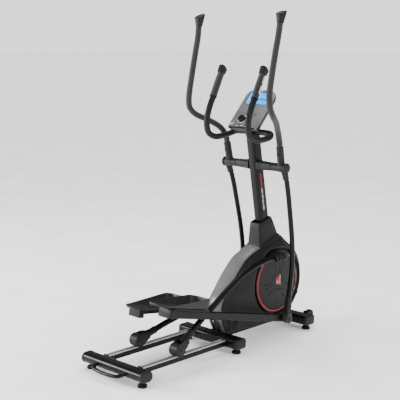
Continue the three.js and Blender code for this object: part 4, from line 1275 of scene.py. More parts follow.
def build_console():
    space = console_space()
    bm = bmesh.new()
    outline_rings(bm, ((0.4, 0, -9), (0, 0, -8), (0, 0, -3.2), (0.5, 0, -1.6), (1.6, 0, -0.5), (3.4, 0, 0)))
    face = piece("console_face", bm, space, "console_paint", "frame",
                 ["console_case"], smooth=34)
    cutters = bmesh.new()
    plate(cutters, shifted(rounded(SCREEN["wide"] + 8, SCREEN["tall"] + 8, 7, 6), 0, SCREEN["y"]), -2.2, 3)
    for x, y in BUTTONS_AT:
        plate(cutters, shifted(rounded(21.4, 13.4, 6, 6), x, y), -7, 3)
    carve(face, cutters, space)
    bm = bmesh.new()
    outline_rings(bm, ((2.2, 0, -8.4), (1.2, 0, -10), (1.4, 0, -14), (3, 0.5, -16), (5, 1, -26),
                       (11, 3, -36),
                       (18, 6, -40.5), (26, 10, -42)))
    piece("console_back_shell", bm, space, "charcoal_plastic", "frame", smooth=34)
    # The lower panel is a shallow raised field of a slightly darker grey, with the keys on it.
    bm = bmesh.new()
    half = CONSOLE["wide"] / 2 - 5
    field = [(-half + 6, 9), (half - 6, 9), (half, 15), (half, 104), (half - 5, 109), (18, 109), (10, 113),
             (-10, 113), (-18, 109), (-half + 5, 109), (-half, 104), (-half, 15)]
    plate(bm, field, -0.6, 0.7, 0.5, 2)
    panel = piece("console_key_panel", bm, space, "console_panel", "frame", smooth=30)
    cutters = bmesh.new()
    for x, y in BUTTONS_AT:
        plate(cutters, shifted(rounded(21.4, 13.4, 6, 6), x, y), -7, 3)
    carve(panel, cutters, space)
    bm = bmesh.new()
    lip = [(-half + 8, -0.6), (half - 8, -0.6), (half - 4, 1), (half - 4, 7.5), (-half + 4, 7.5),
           (-half + 4, 1)]
    plate(bm, lip, -12, 1.2, 0.8, 2)
    piece("console_lower_lip", bm, space, "black_plastic", "frame", smooth=30)
    bm = bmesh.new()
    frame_out = rounded(SCREEN["wide"] + 7, SCREEN["tall"] + 7, 6.5, 6)
    frame_in = rounded(SCREEN["wide"] - 1, SCREEN["tall"] - 1, 3, 6)
    rings = []
    for outline, z in ((frame_out, -2.1), (frame_out, -0.4), (frame_in, -1.4), (frame_in, -2.1)):
        rings.append([Vector((a, b + SCREEN["y"], z)) for a, b in outline])
    skin(bm, rings, loop=True)
    piece("console_bezel", bm, space, "black_plastic", "frame", smooth=25)
    bm = bmesh.new()
    plate(bm, shifted(rounded(SCREEN["wide"], SCREEN["tall"], 3.5, 6), 0, SCREEN["y"]), -3.2, -1.75)
    piece("console_display", bm, space, "display", "frame", ["console_screen"])
    build_display_figures(space)
    bm = bmesh.new()
    turned(bm, [(0, -1), (4.6, -1), (4.6, 0.5), (3.8, 0.9), (2.6, 0.9), (2.2, -1.5), (0, -1.5)],
           Matrix.Translation((41, 89, 0.6)), 28)
    piece("console_chest_strap_socket", bm, space, "black_plastic", "frame")
    bm = bmesh.new()
    turned(bm, [(0, -0.5), (4.2, -0.5), (4.2, 0.4), (3.6, 1), (2, 1.5), (0, 1.7)],
           Matrix.Translation((0, CONSOLE["long"] - 10, 0)), 32)
    piece("console_status_lamp", bm, space, "print_white", "frame")
    # Back of the console: battery door, vents and the four case screws.
    bm = bmesh.new()
    plate(bm, shifted(rounded(82, 46, 5, 5), 0, 74), -41, -43, 0.8, 2)
    for i in range(5):
        plate(bm, shifted(rounded(58, 2.6, 1.2, 3), 0, 150 + i * 8), -41, -42.8, 0.5, 2)
    piece("console_battery_door", bm, space, "black_plastic", "frame", smooth=30)
    bm = bmesh.new()
    for x in (-58, 58):
        for y in (40, 212):
            button_screw(bm, (x, y, -41.4), (0, 0, -1), 4, 1.6)
    piece("console_case_screws", bm, space, "bright_steel", "frame")
    build_console_controls(space)
    build_console_bracket()


# Which of the seven strokes of a figure are drawn, top, upper and lower right, bottom,
# lower and upper left, middle.
STROKES = {"0": "1111110", "1": "0110000", "2": "1101101", "3": "1111001", "4": "0110011", "5": "1011011",
           "6": "1011111", "7": "1110000", "8": "1111111", "9": "1111011"}


def build_display_figures(space):
    """Plain seven-stroke numbers and a row of level bars, as dark segments on the display."""
    bm = bmesh.new()

    def bar(x, y, wide, tall):
        plate(bm, shifted(rounded(wide, tall, min(wide, tall) * 0.3, 2), x, y), -1.8, -1.6)

    def figure(character, x, y, tall):
        wide, thick = tall * 0.5, tall * 0.12
        places = ((0, tall / 2, 1), (wide / 2, tall / 4, 0), (wide / 2, -tall / 4, 0), (0, -tall / 2, 1),
                  (-wide / 2, -tall / 4, 0), (-wide / 2, tall / 4, 0), (0, 0, 1))
        for on, (dx, dy, level) in zip(STROKES[character], places):
            if on == "1":
                bar(x + dx, y + dy, wide * 0.72 if level else thick, thick if level else tall * 0.36)

    for group, x0, y, tall in (("0000", -54, 219, 13), ("000", 20, 219, 13), ("128", -54, 172, 11),
                               ("64", 2, 172, 11), ("00", 44, 172, 11)):
        for i, character in enumerate(group):
            figure(character, x0 + i * tall * 0.85, y, tall)
    for i in range(12):
        tall = 6 + 9 * abs(math.sin(i * 0.55))
        bar(-52 + i * 9.4, 188 + tall / 2 - 2, 5.4, tall)
    piece("console_display_figures", bm, space, "display_ink", "frame", smooth=30)


def build_console_controls(space):
    x, y = KNOB_AT
    at = Matrix.Translation((x, y, 0))
    bm = bmesh.new()
    turned(bm, [(19.4, 0.7), (25, 0.7), (25.4, 1.4), (24.8, 3), (23, 4), (21, 3.8), (19.8, 2.6),
                (19.4, 0.7)], at, 64)
    piece("console_knob_ring", bm, space, "chrome", "frame", smooth=50)
    flutes = lambda turn, r, h: 1 + (0.02 * math.cos(turn * 22) if r > 15 and 2 < h < 13 else 0)
    bm = bmesh.new()
    turned(bm, [(0, -8), (4.4, -8), (4.4, 1), (18.6, 1.2), (18.9, 2.4), (18.2, 12), (17, 14.6), (15, 15.7),
                (13, 15.3), (6, 13.6), (0, 13.2)], at, 132, flutes)
    piece("console_knob_body", bm, space, "black_plastic", "knob",
          ["console_knob"], smooth=50)
    for i, (x, y) in enumerate(BUTTONS_AT, 1):
        bm = bmesh.new()
        pillow(bm, shifted(rounded(20, 12, 5.6, 8), x, y), -2.5, 3.5, top_view, 2.6, 6)
        node = f"console_button_{i}"
        piece(f"console_key_{i}", bm, space, "chrome", f"button_{i}", [node], smooth=60)


def build_console_bracket():
    bm = bmesh.new()
    outline = [(907, 1079.5), (961, 1079.5), (961, 1128), (957, 1144), (948, 1144), (907, 1097)]
    for low, high in ((-31, -26), (26, 31)):
        prism(bm, outline, low, high, side_view)
    prism(bm, [(912, 1079.5), (956, 1079.5), (956, 1136), (949, 1138), (912, 1094)], -26.5, 26.5, side_view)
    piece("console_neck", bm, machine_space(), "black_plastic", "frame",
          ["console_bracket"], bevel=1.6, rounds=3)
    bm = bmesh.new()
    for side in (-1, 1):
        button_screw(bm, (side * 30.6, 948, 1092), (side, 0, 0), 5.5, 3)
        button_screw(bm, (side * 30.6, 922, 1089), (side, 0, 0), 5.5, 3)
    piece("console_neck_screws", bm, machine_space(), "bright_steel", "frame")


# ------------------------------------------------------------------ cranks and drive
CRANK_THROW = 148
CRANK_ANGLE = math.radians(96.6)
DISC = 167.6
DISC_FACE = 86


def disc_curve(points, count=40):
    return smooth_path([(0, y, z) for y, z in points], count)


RING_RADIUS = 156.5                                            # middle of the printed ring
RING_ARCS = ((3, 194), (235, 244), (252, 278), (305, 318))     # degrees past the crank boss


def build_crank_discs():
    """A moulded disc on each crank arm, with a printed ring, three swept grooves and the crank boss."""
    throw = Vector((0, math.cos(CRANK_ANGLE), math.sin(CRANK_ANGLE))) * CRANK_THROW
    for name, side in SIDES:
        space = machine_space(side)
        hub = aimed((0, CRANK_Y, CRANK_Z), (1, 0, 0))
        pin = Vector((0, CRANK_Y, CRANK_Z)) + side * throw
        bm = bmesh.new()
        turned(bm, [(10.3, 72), (60, 72), (64, 75), (DISC - 3, 76), (DISC - 0.6, 77), (DISC, 78.6),
                    (DISC, DISC_FACE - 3), (DISC - 0.8, DISC_FACE - 1), (DISC - 2.6, DISC_FACE - 0.1),
                    (DISC - 5, DISC_FACE), (151, DISC_FACE), (150, DISC_FACE - 0.9), (148, DISC_FACE - 1),
                    (60, DISC_FACE + 1.6), (34, DISC_FACE + 2), (31, DISC_FACE + 2), (30, DISC_FACE + 1),
                    (10.3, DISC_FACE + 1), (10.3, 72)], hub, 160)
        disc = piece("crank_plate_" + name, bm, space, "charcoal_plastic", "crank",
                     ["crank_disc_" + name], smooth=30)
        cutters = bmesh.new()
        for k in range(3):
            turn = math.radians(120 * k)
            for groove in (((96, 103), (74, 101), (46, 117), (42, 150), (62, 193), (87, 197), (104, 197)),
                           ((69, -60), (94, -59), (116, -57))):
                points = []
                for radius, degrees in groove:
                    angle = math.radians(degrees) + turn
                    points.append((CRANK_Y + radius * math.cos(angle), CRANK_Z + radius * math.sin(angle)))
                path = [Vector((DISC_FACE + 1.2, p.y, p.z)) for p in disc_curve(points)]
                sweep(cutters, path, [(-4.6, -1.3), (4.6, -1.3), (4.6, 1.3), (-4.6, 1.3)], up=(1, 0, 0))
        carve(disc, cutters, space)

        # The printed ring is one long arc and three short ones, placed from the crank boss.
        half = sizes().ring_width / MM / 2
        middle = RING_RADIUS
        bm = bmesh.new()
        crank_at = math.degrees(CRANK_ANGLE) + (0 if side > 0 else 180)
        for first, last in RING_ARCS:
            first, last = crank_at + first, crank_at + last
            count = max(6, int((last - first) / 2.5))
            rings = []
            for i in range(count + 1):
                t = math.radians(first + (last - first) * i / count)
                out = Vector((0, math.cos(t), math.sin(t)))
                base = Vector((0, CRANK_Y, CRANK_Z))
                rings.append([base + out * (middle + a) + Vector((DISC_FACE + h, 0, 0))
                              for a, h in ((-half, -0.3), (half, -0.3), (half, 0.25), (-half, 0.25))])
            skin(bm, rings)
        piece("crank_ring_print_" + name, bm, space, "accent", "crank", smooth=30)

        # Plain slanting bars stand in the middle of the disc.
        bm = bmesh.new()
        put = lambda a, b, depth: Vector((depth, CRANK_Y + 4 + a, CRANK_Z + 2 + b))
        top = DISC_FACE + 2.3
        for k in range(3):
            z = -20 + k * 15
            prism(bm, [(-13, z), (9, z + 5), (9, z + 13), (-13, z + 8)], top - 0.8, top, put)
        piece("crank_bars_red_" + name, bm, space, "accent", "crank")
        bm = bmesh.new()
        prism(bm, [(14, -22), (17.5, -21.2), (17.5, 31), (14, 30.2)], top - 0.8, top, put)
        piece("crank_bar_white_" + name, bm, space, "print_white", "crank")

        bm = bmesh.new()
        where = aimed((0, pin.y, pin.z), (1, 0, 0))
        turned(bm, [(0, DISC_FACE - 3), (23, DISC_FACE - 3), (23, DISC_FACE + 2), (21, DISC_FACE + 4.5),
                    (17.5, DISC_FACE + 6), (17, DISC_FACE + 14.2), (16.2, DISC_FACE + 15),
                    (0, DISC_FACE + 15)],
               where, 48)
        piece("crank_boss_" + name, bm, space, "black_plastic", "crank", smooth=40)
        bm = bmesh.new()
        where = aimed((0, CRANK_Y, CRANK_Z), (1, 0, 0))
        turned(bm, [(0, 80), (10, 80), (10, DISC_FACE), (9, DISC_FACE + 1), (0, DISC_FACE + 1)], where, 32)
        piece("crank_axle_end_" + name, bm, space, "bright_steel", "crank")
    bm = bmesh.new()
    turned(bm, [(0, -82), (9.2, -82), (10, -81), (10, 81), (9.2, 82), (0, 82)],
           aimed((0, CRANK_Y, CRANK_Z), (1, 0, 0)), 40)
    piece("crank_spindle", bm, machine_space(), "bright_steel", "crank", ["crank_axle"])


BELT_X = 42
FLYWHEEL_AT = ((PIVOT["flywheel_spin"].y - REAR_LINE) / MM, PIVOT["flywheel_spin"].z / MM)


def build_drive():
    """Drive pulley, poly-V belt and flywheel, all behind the covers."""
    space = machine_space()
    hub = aimed((BELT_X, CRANK_Y, CRANK_Z), (1, 0, 0))
    bm = bmesh.new()
    turned(bm, [(10.3, -8.3), (30, -8.3), (32, -3), (112, -3), (114, -8), (131, -8.3), (131, -6.8),
                (128, -6.4),
                (128, 6.4), (131, 6.8), (131, 8.3), (114, 8), (112, 3), (32, 3), (30, 8.3), (10.3, 8.3),
                (10.3, -8.3)], hub, 96)
    piece("poly_v_pulley", bm, space, "black_plastic", "crank", ["drive_pulley"])
    y, z = FLYWHEEL_AT
    wheel = aimed((0, y, z), (1, 0, 0))
    bm = bmesh.new()
    turned(bm, [(5, -10), (24, -10), (26, -4), (87, -4), (89, -10), (101.5, -10), (103, -8.5), (103, 8.5),
                (101.5, 10), (89, 10), (87, 4), (26, 4), (24, 10), (5, 10), (5, -10)], wheel, 96)
    turned(bm, [(0, -26), (6, -26), (6, 34), (18, 34), (18, 50), (6, 50), (6, 51), (0, 51)], wheel, 40)
    piece("flywheel_casting", bm, space, "cast_iron", "flywheel", ["flywheel"])
    big, small, slack, thick = 128, 18, 1.2, 3
    line = math.atan2(CRANK_Z - z, CRANK_Y - y)
    opening = math.acos((big - small) / math.hypot(CRANK_Y - y, CRANK_Z - z))

    def band(extra):
        points = []
        for cy, cz, radius, first, last, count in (
                (CRANK_Y, CRANK_Z, big + extra, line - math.pi + opening, line + math.pi - opening, 60),
                (y, z, small + extra, line + math.pi - opening, line + math.pi + opening, 16)):
            for i in range(count + 1):
                turn = first + (last - first) * i / count
                points.append((cy + radius * math.cos(turn), cz + radius * math.sin(turn)))
        return points

    inner, outer = band(slack), band(slack + thick)
    bm = bmesh.new()
    rings = [[Vector((BELT_X - 6, *p)) for p in inner], [Vector((BELT_X + 6, *p)) for p in inner],
             [Vector((BELT_X + 6, *p)) for p in outer], [Vector((BELT_X - 6, *p)) for p in outer]]
    skin(bm, rings, loop=True)
    piece("poly_v_belt", bm, space, "rubber", "frame", ["drive_belt"], smooth=40)


# ------------------------------------------------------------------ swing arms
# Stations of an arm's middle line from the swing axle: across, along, up.
UPPER_ARM = ((174, -13, 62), (174, -18.3, 103), (175, -29, 147), (188, -58, 190), (219, -110, 229),
             (249, -172, 264), (257, -204, 300), (255, -211, 340), (252, -207, 385), (249, -195, 443),
             (246, -180, 511), (243, -163, 583), (241, -147, 647), (240, -137, 706))
LOWER_ARM = ((190, 12, -24), (190, 39, -110), (190, 57, -192), (190, 74, -275), (190, 89, -357),
             (190, 99, -440), (190, 102, -500), (190, 99, -560), (190, 93, -611), (190, 86, -672))
ARM_PIN = (78, -789)


def build_arm(name, side):
    space, body = arm_space(side), name + "_arm"
    tube, foam = sizes().arm_tube / MM, sizes().arm_foam / MM
    bm = bmesh.new()
    path = smooth_path([(190, 6, -12), *LOWER_ARM, (190, 84, -700)], 90)
    sweep(bm, path, disc_outline(tube, 28))
    piece("lower_arm_tube_" + name, bm, space, "black_steel", body,
          ["arm_tube_" + name], smooth=60)

    # Moulded foot cover: a sleeve round the tube that widens into a round cap over the pin.
    def foot_ring(z, y, deep, x0, x1, power=4.0):
        ring = []
        for i in range(40):
            turn = 2 * math.pi * i / 40
            c, s = math.cos(turn), math.sin(turn)
            square = 1 / (abs(c) ** power + abs(s) ** power) ** (1 / power)
            ring.append(Vector(((x0 + x1) / 2 + (x1 - x0) / 2 * c * square, y + deep * s * square, z)))
        return ring

    bm = bmesh.new()
    y, z = ARM_PIN
    rings = [foot_ring(-672, 86, 14.2, 175.6, 204, 2.6), foot_ring(-673.5, 86, 15.6, 174.6, 205.2, 2.6),
             foot_ring(-700, 84, 16, 174.9, 205.2, 3.4), foot_ring(-735, 82, 16.6, 176, 204.6, 4),
             foot_ring(-758, 80.5, 18, 176.6, 204, 4)]
    skin(bm, rings)
    piece("arm_foot_sleeve_" + name, bm, space, "charcoal_plastic", body, smooth=34)
    bm = bmesh.new()
    outline = []
    for i in range(41):
        turn = math.radians(145 + 250 * i / 40)
        outline.append((y + 23 * math.cos(turn), z + 23 * math.sin(turn)))
    outline += [(y + 17.5, z + 26), (y + 15, z + 34), (y - 13, z + 34), (y - 16, z + 26)]
    for low, high, soft in ((190, 208.6, 3.2), (190, 176.8, 1.5)):
        pillow(bm, outline, low, high, side_view, soft, 4)
    piece("arm_foot_cap_" + name, bm, space, "grey_cap", body, smooth=34)
    bm = bmesh.new()
    button_screw(bm, (204.6, 83, -724), (1, 0, 0), 6, 3)
    hex_nut(bm, (190, 99, -706), (0, 1, 0), 9, 4, 6)
    piece("arm_foot_screws_" + name, bm, space, "dark_steel", body)
    bm = bmesh.new()
    where = aimed((208.2, y, z), (1, 0, 0))
    turned(bm, [(0, -0.5), (14, -0.5), (14, 0.6), (13, 1.2), (10, 1.3), (9.4, 0.4), (0, 0.4)], where, 40)
    piece("arm_pin_cover_" + name, bm, space, "black_plastic", body)

    # Hub: a sleeve on the axle, clamped halves with a seam, and a tapered riser for the upper arm.
    bm = bmesh.new()
    axle = aimed((0, 0, 0), (1, 0, 0))
    turned(bm, [(12.4, 120.8), (20, 120.8), (21.4, 122), (21.4, 151), (20.6, 152), (20.6, 153.4),
                (21.6, 154.4),
                (22.6, 160), (23, 166), (23, 188), (22, 196), (21.5, 202), (20.6, 203), (12.4, 203),
                (12.4, 120.8)], axle, 56)
    piece("arm_hub_sleeve_" + name, bm, space, "charcoal_plastic", body,
          ["arm_hub_" + name], smooth=34)
    bm = bmesh.new()
    riser = [Vector((174, 0, 4)).lerp(Vector((174, -18.3, 104)), t / 20) for t in range(21)]
    taper = lambda t: (21.4 - 2.6 * ease(0, 0.3, t)) / 20 + (0.04 if t > 0.95 else 0)
    sweep(bm, riser, disc_outline(20, 40), taper)
    tip = aimed(riser[-1], riser[-1] - riser[-2])
    turned(bm, [(17, -0.5), (19, -0.5), (18.8, 0.8), (17.6, 1.5), (16.4, 1.2), (16, -0.5)], tip, 44)
    piece("arm_riser_" + name, bm, space, "charcoal_plastic", body, smooth=40)
    bm = bmesh.new()
    fall = [Vector((190, 1, -2)).lerp(Vector((190, 20.5, -56)), t / 14) for t in range(15)]
    sweep(bm, fall, disc_outline(16.4, 36),
          lambda t: 1.16 - 0.18 * ease(0, 0.8, t) + (0.03 if t > 0.9 else 0))
    piece("arm_socket_" + name, bm, space, "charcoal_plastic", body, smooth=40)
    bm = bmesh.new()
    button_screw(bm, (174, -33.5, 66), (0, -1, -0.1), 4.6, 2.6)
    button_screw(bm, (174, 4.5, 76), (0, 1, 0.1), 4.6, 2.6)
    button_screw(bm, (205.2, 12.5, -34), (1, 0, 0), 4.6, 2.6)
    piece("arm_hub_screws_" + name, bm, space, "dark_steel", body)

    # Upper arm: foam over the whole bent tube, ground round, with a moulded end cap.
    bm = bmesh.new()
    path = smooth_path([(174, -18.2, 103), *UPPER_ARM[2:]], 150)
    sweep(bm, path, disc_outline(foam, 36), lambda t: 1 - 0.06 * ease(0.012, 0, t))
    piece("arm_foam_" + name, bm, space, "grip_foam", body, ["arm_grip_" + name], smooth=60)
    base, up = Vector((240, -137, 706.5)), Vector((-0.02, 0.165, 0.986)).normalized()
    out = Vector((1, 0, 0))
    back = up.cross(out).normalized()
    rings = []
    for height, wide, deep, slant in ((0.5, 15.4, 15.4, 0), (1, 16.6, 16.6, 0), (12, 17.4, 17.6, 0),
                                      (30, 20, 21, 0.18), (49, 21.6, 26.4, 0.44), (53, 21.2, 26.2, 0.48),
                                      (54.6, 19, 23.6, 0.49)):
        ring = []
        for i in range(44):
            turn = 2 * math.pi * i / 44
            c, s = math.cos(turn), math.sin(turn)
            square = 1 / (abs(c) ** 2.8 + abs(s) ** 2.8) ** (1 / 2.8)
            v = deep * s * square
            ring.append(base + out * (wide * c * square) + back * v + up * (height + slant * v))
        rings.append(ring)
    bm = bmesh.new()
    skin(bm, rings)
    piece("arm_end_cap_" + name, bm, space, "charcoal_plastic", body,
          ["arm_cap_" + name], smooth=30)

    # End cap of the axle: a low faceted button.
    bm = bmesh.new()
    shape = lambda turn, r, h: 1 + 0.035 * math.cos(8 * turn) if r > 15 else 1
    turned(bm, [(0, 203.4), (24.2, 203.4), (25, 204.4), (25, 210.6), (23.4, 213), (18, 215.6), (11, 216.4),
                (0, 216.4)], axle, 64, shape)
    piece("axle_end_cap_" + name, bm, space, "charcoal_plastic", body,
          ["axle_cap_" + name], smooth=26)


# ------------------------------------------------------------------ pedal bars and pedals
BAR_LONG = 840
SEAT = 26.7                     # top of the bracket that carries the tray
PEDAL = {"x": 112, "wide": 128, "long": 322, "y": -736, "floor": 32, "rim": 7, "rise": 39, "front": 36,
         "rear": 58}


def ramp(value, low, high):
    return min(max((value - low) / (high - low), 0), 1)


def pedal_ring(inset, height, steps=20):
    """The tray's outline at an inset: rounder behind, its rim high inboard and in front."""
    half_wide, half_long = PEDAL["wide"] / 2 - inset, PEDAL["long"] / 2 - inset
    ring = []
    for hx, hy, start in ((1, 1, 0), (-1, 1, 90), (-1, -1, 180), (1, -1, 270)):
        radius = max((PEDAL["front"] if hy > 0 else PEDAL["rear"]) - inset, 6)
        for i in range(steps + 1):
            turn = math.radians(start + 90 * i / steps)
            a = hx * (half_wide - radius) + radius * math.cos(turn)
            b = hy * (half_long - radius) + radius * math.sin(turn)
            rise = PEDAL["rise"] * max(ramp(b, 58, 122),
                                       ease(-10, PEDAL["wide"] * 0.45, -a) * ramp(b, -125, 0))
            ring.append(Vector((PEDAL["x"] + a, PEDAL["y"] + b, PEDAL["floor"] + height(rise))))
    return ring


def build_pedals():
    for name, side in SIDES:
        space, body = bar_space(name, side), name + "_pedal_bar"
        low, high = PEDAL_BAR_X
        bm = bmesh.new()
        middle = (low + high) / 2
        section = [(middle + a, b) for a, b in rounded(high - low, 38, 5, 5)]
        skin(bm, [[Vector((a, y, b)) for a, b in section] for y in (-BAR_LONG, -14)])
        turned(bm, [(10, low), (19, low), (19, high), (10, high), (10, low)], aimed((0, 0, 0), (1, 0, 0)),
               40)
        section = [(a, b) for a, b in rounded(83.4, 47, 5, 4)]
        skin(bm, [[Vector((135 + a, y, SEAT - 24 + b)) for a, b in section]
                  for y in (-BAR_LONG, -BAR_LONG + 24)])
        prism(bm, [(95, -BAR_LONG + 18), (175.4, -BAR_LONG + 18), (175.4, -588), (152, -588), (97, -612)],
              17, SEAT, top_view)
        piece("pedal_beam_" + name, bm, space, "black_steel", body,
              ["pedal_bar_" + name], smooth=35)
        bm = bmesh.new()
        pillow(bm, [(a + 135, b + SEAT - 24) for a, b in rounded(79, 44, 4, 4)], -BAR_LONG + 1,
               -BAR_LONG - 2.4, rear_view,
               1.4, 3)
        piece("pedal_beam_end_" + name, bm, space, "black_plastic", body, smooth=34)
        bm = bmesh.new()
        turned(bm, [(0, low - 2), (9.8, low - 2), (9.8, high + 0.4), (0, high + 0.4)],
               aimed((0, 0, 0), (1, 0, 0)), 32)
        for x, y in ((110, -790), (138, -790), (110, -700), (138, -700)):
            hex_nut(bm, (x, y, 17), (0, 0, -1), 10, 5, 8)
        piece("pedal_beam_fixings_" + name, bm, space, "dark_steel", body)

        bm = bmesh.new()
        rings = [pedal_ring(14, lambda rise: -5), pedal_ring(4, lambda rise: -3.6),
                 pedal_ring(1.4, lambda rise: -1.6),
                 pedal_ring(0.6, lambda rise: 1), pedal_ring(0, lambda rise: PEDAL["rim"] + rise - 2),
                 pedal_ring(0.4, lambda rise: PEDAL["rim"] + rise - 0.6),
                 pedal_ring(1.5, lambda rise: PEDAL["rim"] + rise),
                 pedal_ring(2.8, lambda rise: PEDAL["rim"] + rise - 0.6),
                 pedal_ring(3.6, lambda rise: PEDAL["rim"] + rise - 2),
                 pedal_ring(7.5, lambda rise: 3), pedal_ring(9, lambda rise: 0.9),
                 pedal_ring(12, lambda rise: 0)]
        skin(bm, rings)
        piece("pedal_tray_" + name, bm, space, "tray", body,
              ["pedal_" + name], smooth=40)
        bm = bmesh.new()
        for row in range(-10, 10):
            for column in range(-3, 4):
                x = column * 15 + (7.5 if row % 2 else 0)
                y = row * 13.4
                if math.hypot(max(abs(x) - 14, 0), max(abs(y) - 100, 0)) > 38 or abs(x) > 45:
                    continue
                tilt = math.radians(38 if row % 2 else -38)
                dash = [(PEDAL["x"] + x + a * math.cos(tilt) - b * math.sin(tilt),
                         PEDAL["y"] + y + a * math.sin(tilt) + b * math.cos(tilt))
                        for a, b in rounded(11, 3.6, 1.7, 4)]
                pillow(bm, dash, PEDAL["floor"] - 0.3, PEDAL["floor"] + 1.8, top_view, 0.8, 2)
        piece("pedal_tread_" + name, bm, space, "grey_cap", body, smooth=40)
        bm = bmesh.new()
        for x in (-40, -20, 0, 20, 40):
            front, back = PEDAL["y"] + 138, PEDAL["y"] - 118
            prism(bm, [(back, 26.9), (back + 16, 26.9), (front - 6, 22), (front, 28.5), (back - 6, 28.5)],
                  PEDAL["x"] + x - 1.1, PEDAL["x"] + x + 1.1, side_view)
        for y in (126, 138):
            prism(bm, [(PEDAL["x"] - 44, 23), (PEDAL["x"] + 44, 23), (PEDAL["x"] + 46, 28.5),
                       (PEDAL["x"] - 46, 28.5)], PEDAL["y"] + y - 1.1, PEDAL["y"] + y + 1.1, rear_view)
        piece("pedal_ribs_" + name, bm, space, "charcoal_plastic", body)


PEDAL_BAR_X = (151.6, 176)


# ------------------------------------------------------------------ links and rollers
LINK_LONG = 821
LINK_X = 121
LINK_CURVE = ((34, 10), (91, 17), (175, 33), (244, 44), (316, 53), (437, 67), (523, 72), (601, 64),
              (679, 49), (742, 31), (776, 18))
KNUCKLE = ((LINK_LONG, 0, 22), (LINK_LONG - 43, 15, 19))     # bearing bosses: along, up, radius
HOOD = 32


def build_links():
    for name, side in SIDES:
        space, body = link_space(name, side), name + "_link"
        bm = bmesh.new()
        path = smooth_path([(LINK_X, y, z) for y, z in LINK_CURVE], 120)
        sweep(bm, path, disc_outline(15, 30))
        piece("link_tube_" + name, bm, space, "black_steel", body, ["link_" + name],
              smooth=60)
        # Knuckle at the crank: two bearing bosses joined by a cast web.
        bm = bmesh.new()
        for y, z, radius in KNUCKLE:
            turned(bm, [(0, 104), (radius - 1.5, 104), (radius, 105.5), (radius, 146.5),
                        (radius - 1.6, 148.6),
                        (radius - 5, 149.6), (radius - 6, 150), (radius - 8.4, 150), (radius - 9, 149),
                        (radius - 11, 146), (0, 145)], aimed((0, y, z), (1, 0, 0)), 48)
        web = [(LINK_LONG - 43, -1), (LINK_LONG, -16), (LINK_LONG, 16), (LINK_LONG - 43, 31)]
        prism(bm, web, 108, 146, side_view)
        piece("link_knuckle_" + name, bm, space, "black_plastic", body, smooth=34)
        bm = bmesh.new()
        for y, z, _ in KNUCKLE:
            hexagon = lambda turn, r, h: (0.9 / math.cos((turn + math.pi / 6) % (math.pi / 3) - math.pi / 6)
                                          if r < 6 else 1)
            turned(bm, [(0, 143), (9.5, 143), (9.5, 147.2), (8.6, 148.2), (6.4, 148.6), (4.6, 148.4),
                        (4.4, 144),
                        (0, 143.8)], aimed((0, y, z), (1, 0, 0)), 48, hexagon)
        piece("link_knuckle_bolts_" + name, bm, space, "dark_steel", body)

        # Roller hood: two round cheeks and an arched top, moulded in charcoal over the steel fork.
        bm = bmesh.new()
        turns = [math.radians(degrees) for degrees in range(70, 336, 7)]
        outline = [(HOOD * math.cos(turn), HOOD * math.sin(turn)) for turn in turns]
        outline += [(44, -11), (64, 0), (66, 27), (40, 31)]
        for low, high in ((100.3, 95.6), (141.7, 146.4)):
            pillow(bm, outline, low, high, side_view, 2.2, 4)
        rings = []
        for a in range(52, 207, 6):
            c, s = math.cos(math.radians(a)), math.sin(math.radians(a))
            rings.append([Vector((x, r * c, r * s))
                          for x, r in ((97, 31), (145, 31), (145, 28.9), (97, 28.9))])
        skin(bm, rings)
        piece("roller_hood_" + name, bm, space, "charcoal_plastic", body, smooth=34)
        bm = bmesh.new()
        collar_path = path[0:14]
        sweep(bm, collar_path, disc_outline(17.6, 36),
              lambda t: 1.25 - 0.25 * ease(0, 0.7, t) + (0.04 if t > 0.9 else 0))
        piece("roller_hood_neck_" + name, bm, space, "charcoal_plastic", body,
              smooth=40)
        bm = bmesh.new()
        turned(bm, [(0, 99), (5, 99), (5, 143), (0, 143)], aimed((0, 0, 0), (1, 0, 0)), 24)
        button_screw(bm, (146.2, 0, 0), (1, 0, 0), 6, 2.6)
        button_screw(bm, (95.8, 0, 0), (-1, 0, 0), 6, 2.6)
        button_screw(bm, (146.2, 50, 14), (1, 0, 0), 4, 2)
        piece("roller_axle_" + name, bm, space, "dark_steel", body)

        bm = bmesh.new()
        radius = (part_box("roller_" + name)[1].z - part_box("roller_" + name)[0].z) / 2 / MM
        turned(bm, [(18, 107), (24, 107), (radius - 1.6, 107.4), (radius - 0.3, 109), (radius, 112),
                    (radius, 130),
                    (radius - 0.3, 133), (radius - 1.6, 134.6), (24, 135), (18, 135), (18, 107)],
               aimed((0, 0, 0), (1, 0, 0)), 72)
        piece("roller_tyre_" + name, bm, space, "polyurethane", name + "_roller",
              ["roller_" + name], smooth=40)
        bm = bmesh.new()
        turned(bm, [(5.3, 106), (9, 106), (9.6, 109), (17, 109.6), (18.3, 107.6), (18.3, 134.4),
                    (17, 132.4),
                    (9.6, 133), (9, 136), (5.3, 136), (5.3, 106)], aimed((0, 0, 0), (1, 0, 0)), 48)
        piece("roller_core_" + name, bm, space, "black_plastic", name + "_roller")


# ------------------------------------------------------------------ operators
class TRAINER_OT_stage(bpy.types.Operator):
    """Floor, studio light and camera"""
    bl_idname = "trainer.stage"
    bl_label = "Stage"

    def execute(self, context):
        build_stage()
        return {"FINISHED"}


class TRAINER_OT_base(bpy.types.Operator):
    """Stabilizers, levelling feet, rails, lift handle and transport wheels"""
    bl_idname = "trainer.base"
    bl_label = "Base"

    def execute(self, context):
        build_stabilizers()
        build_feet()
        build_rails()
        build_lift_handle()
        build_transport_wheels()
        return {"FINISHED"}


class TRAINER_OT_main_frame(bpy.types.Operator):
    """Welded main frame inside and under the housing"""
    bl_idname = "trainer.main_frame"
    bl_label = "Main frame"

    def execute(self, context):
        build_main_frame()
        return {"FINISHED"}


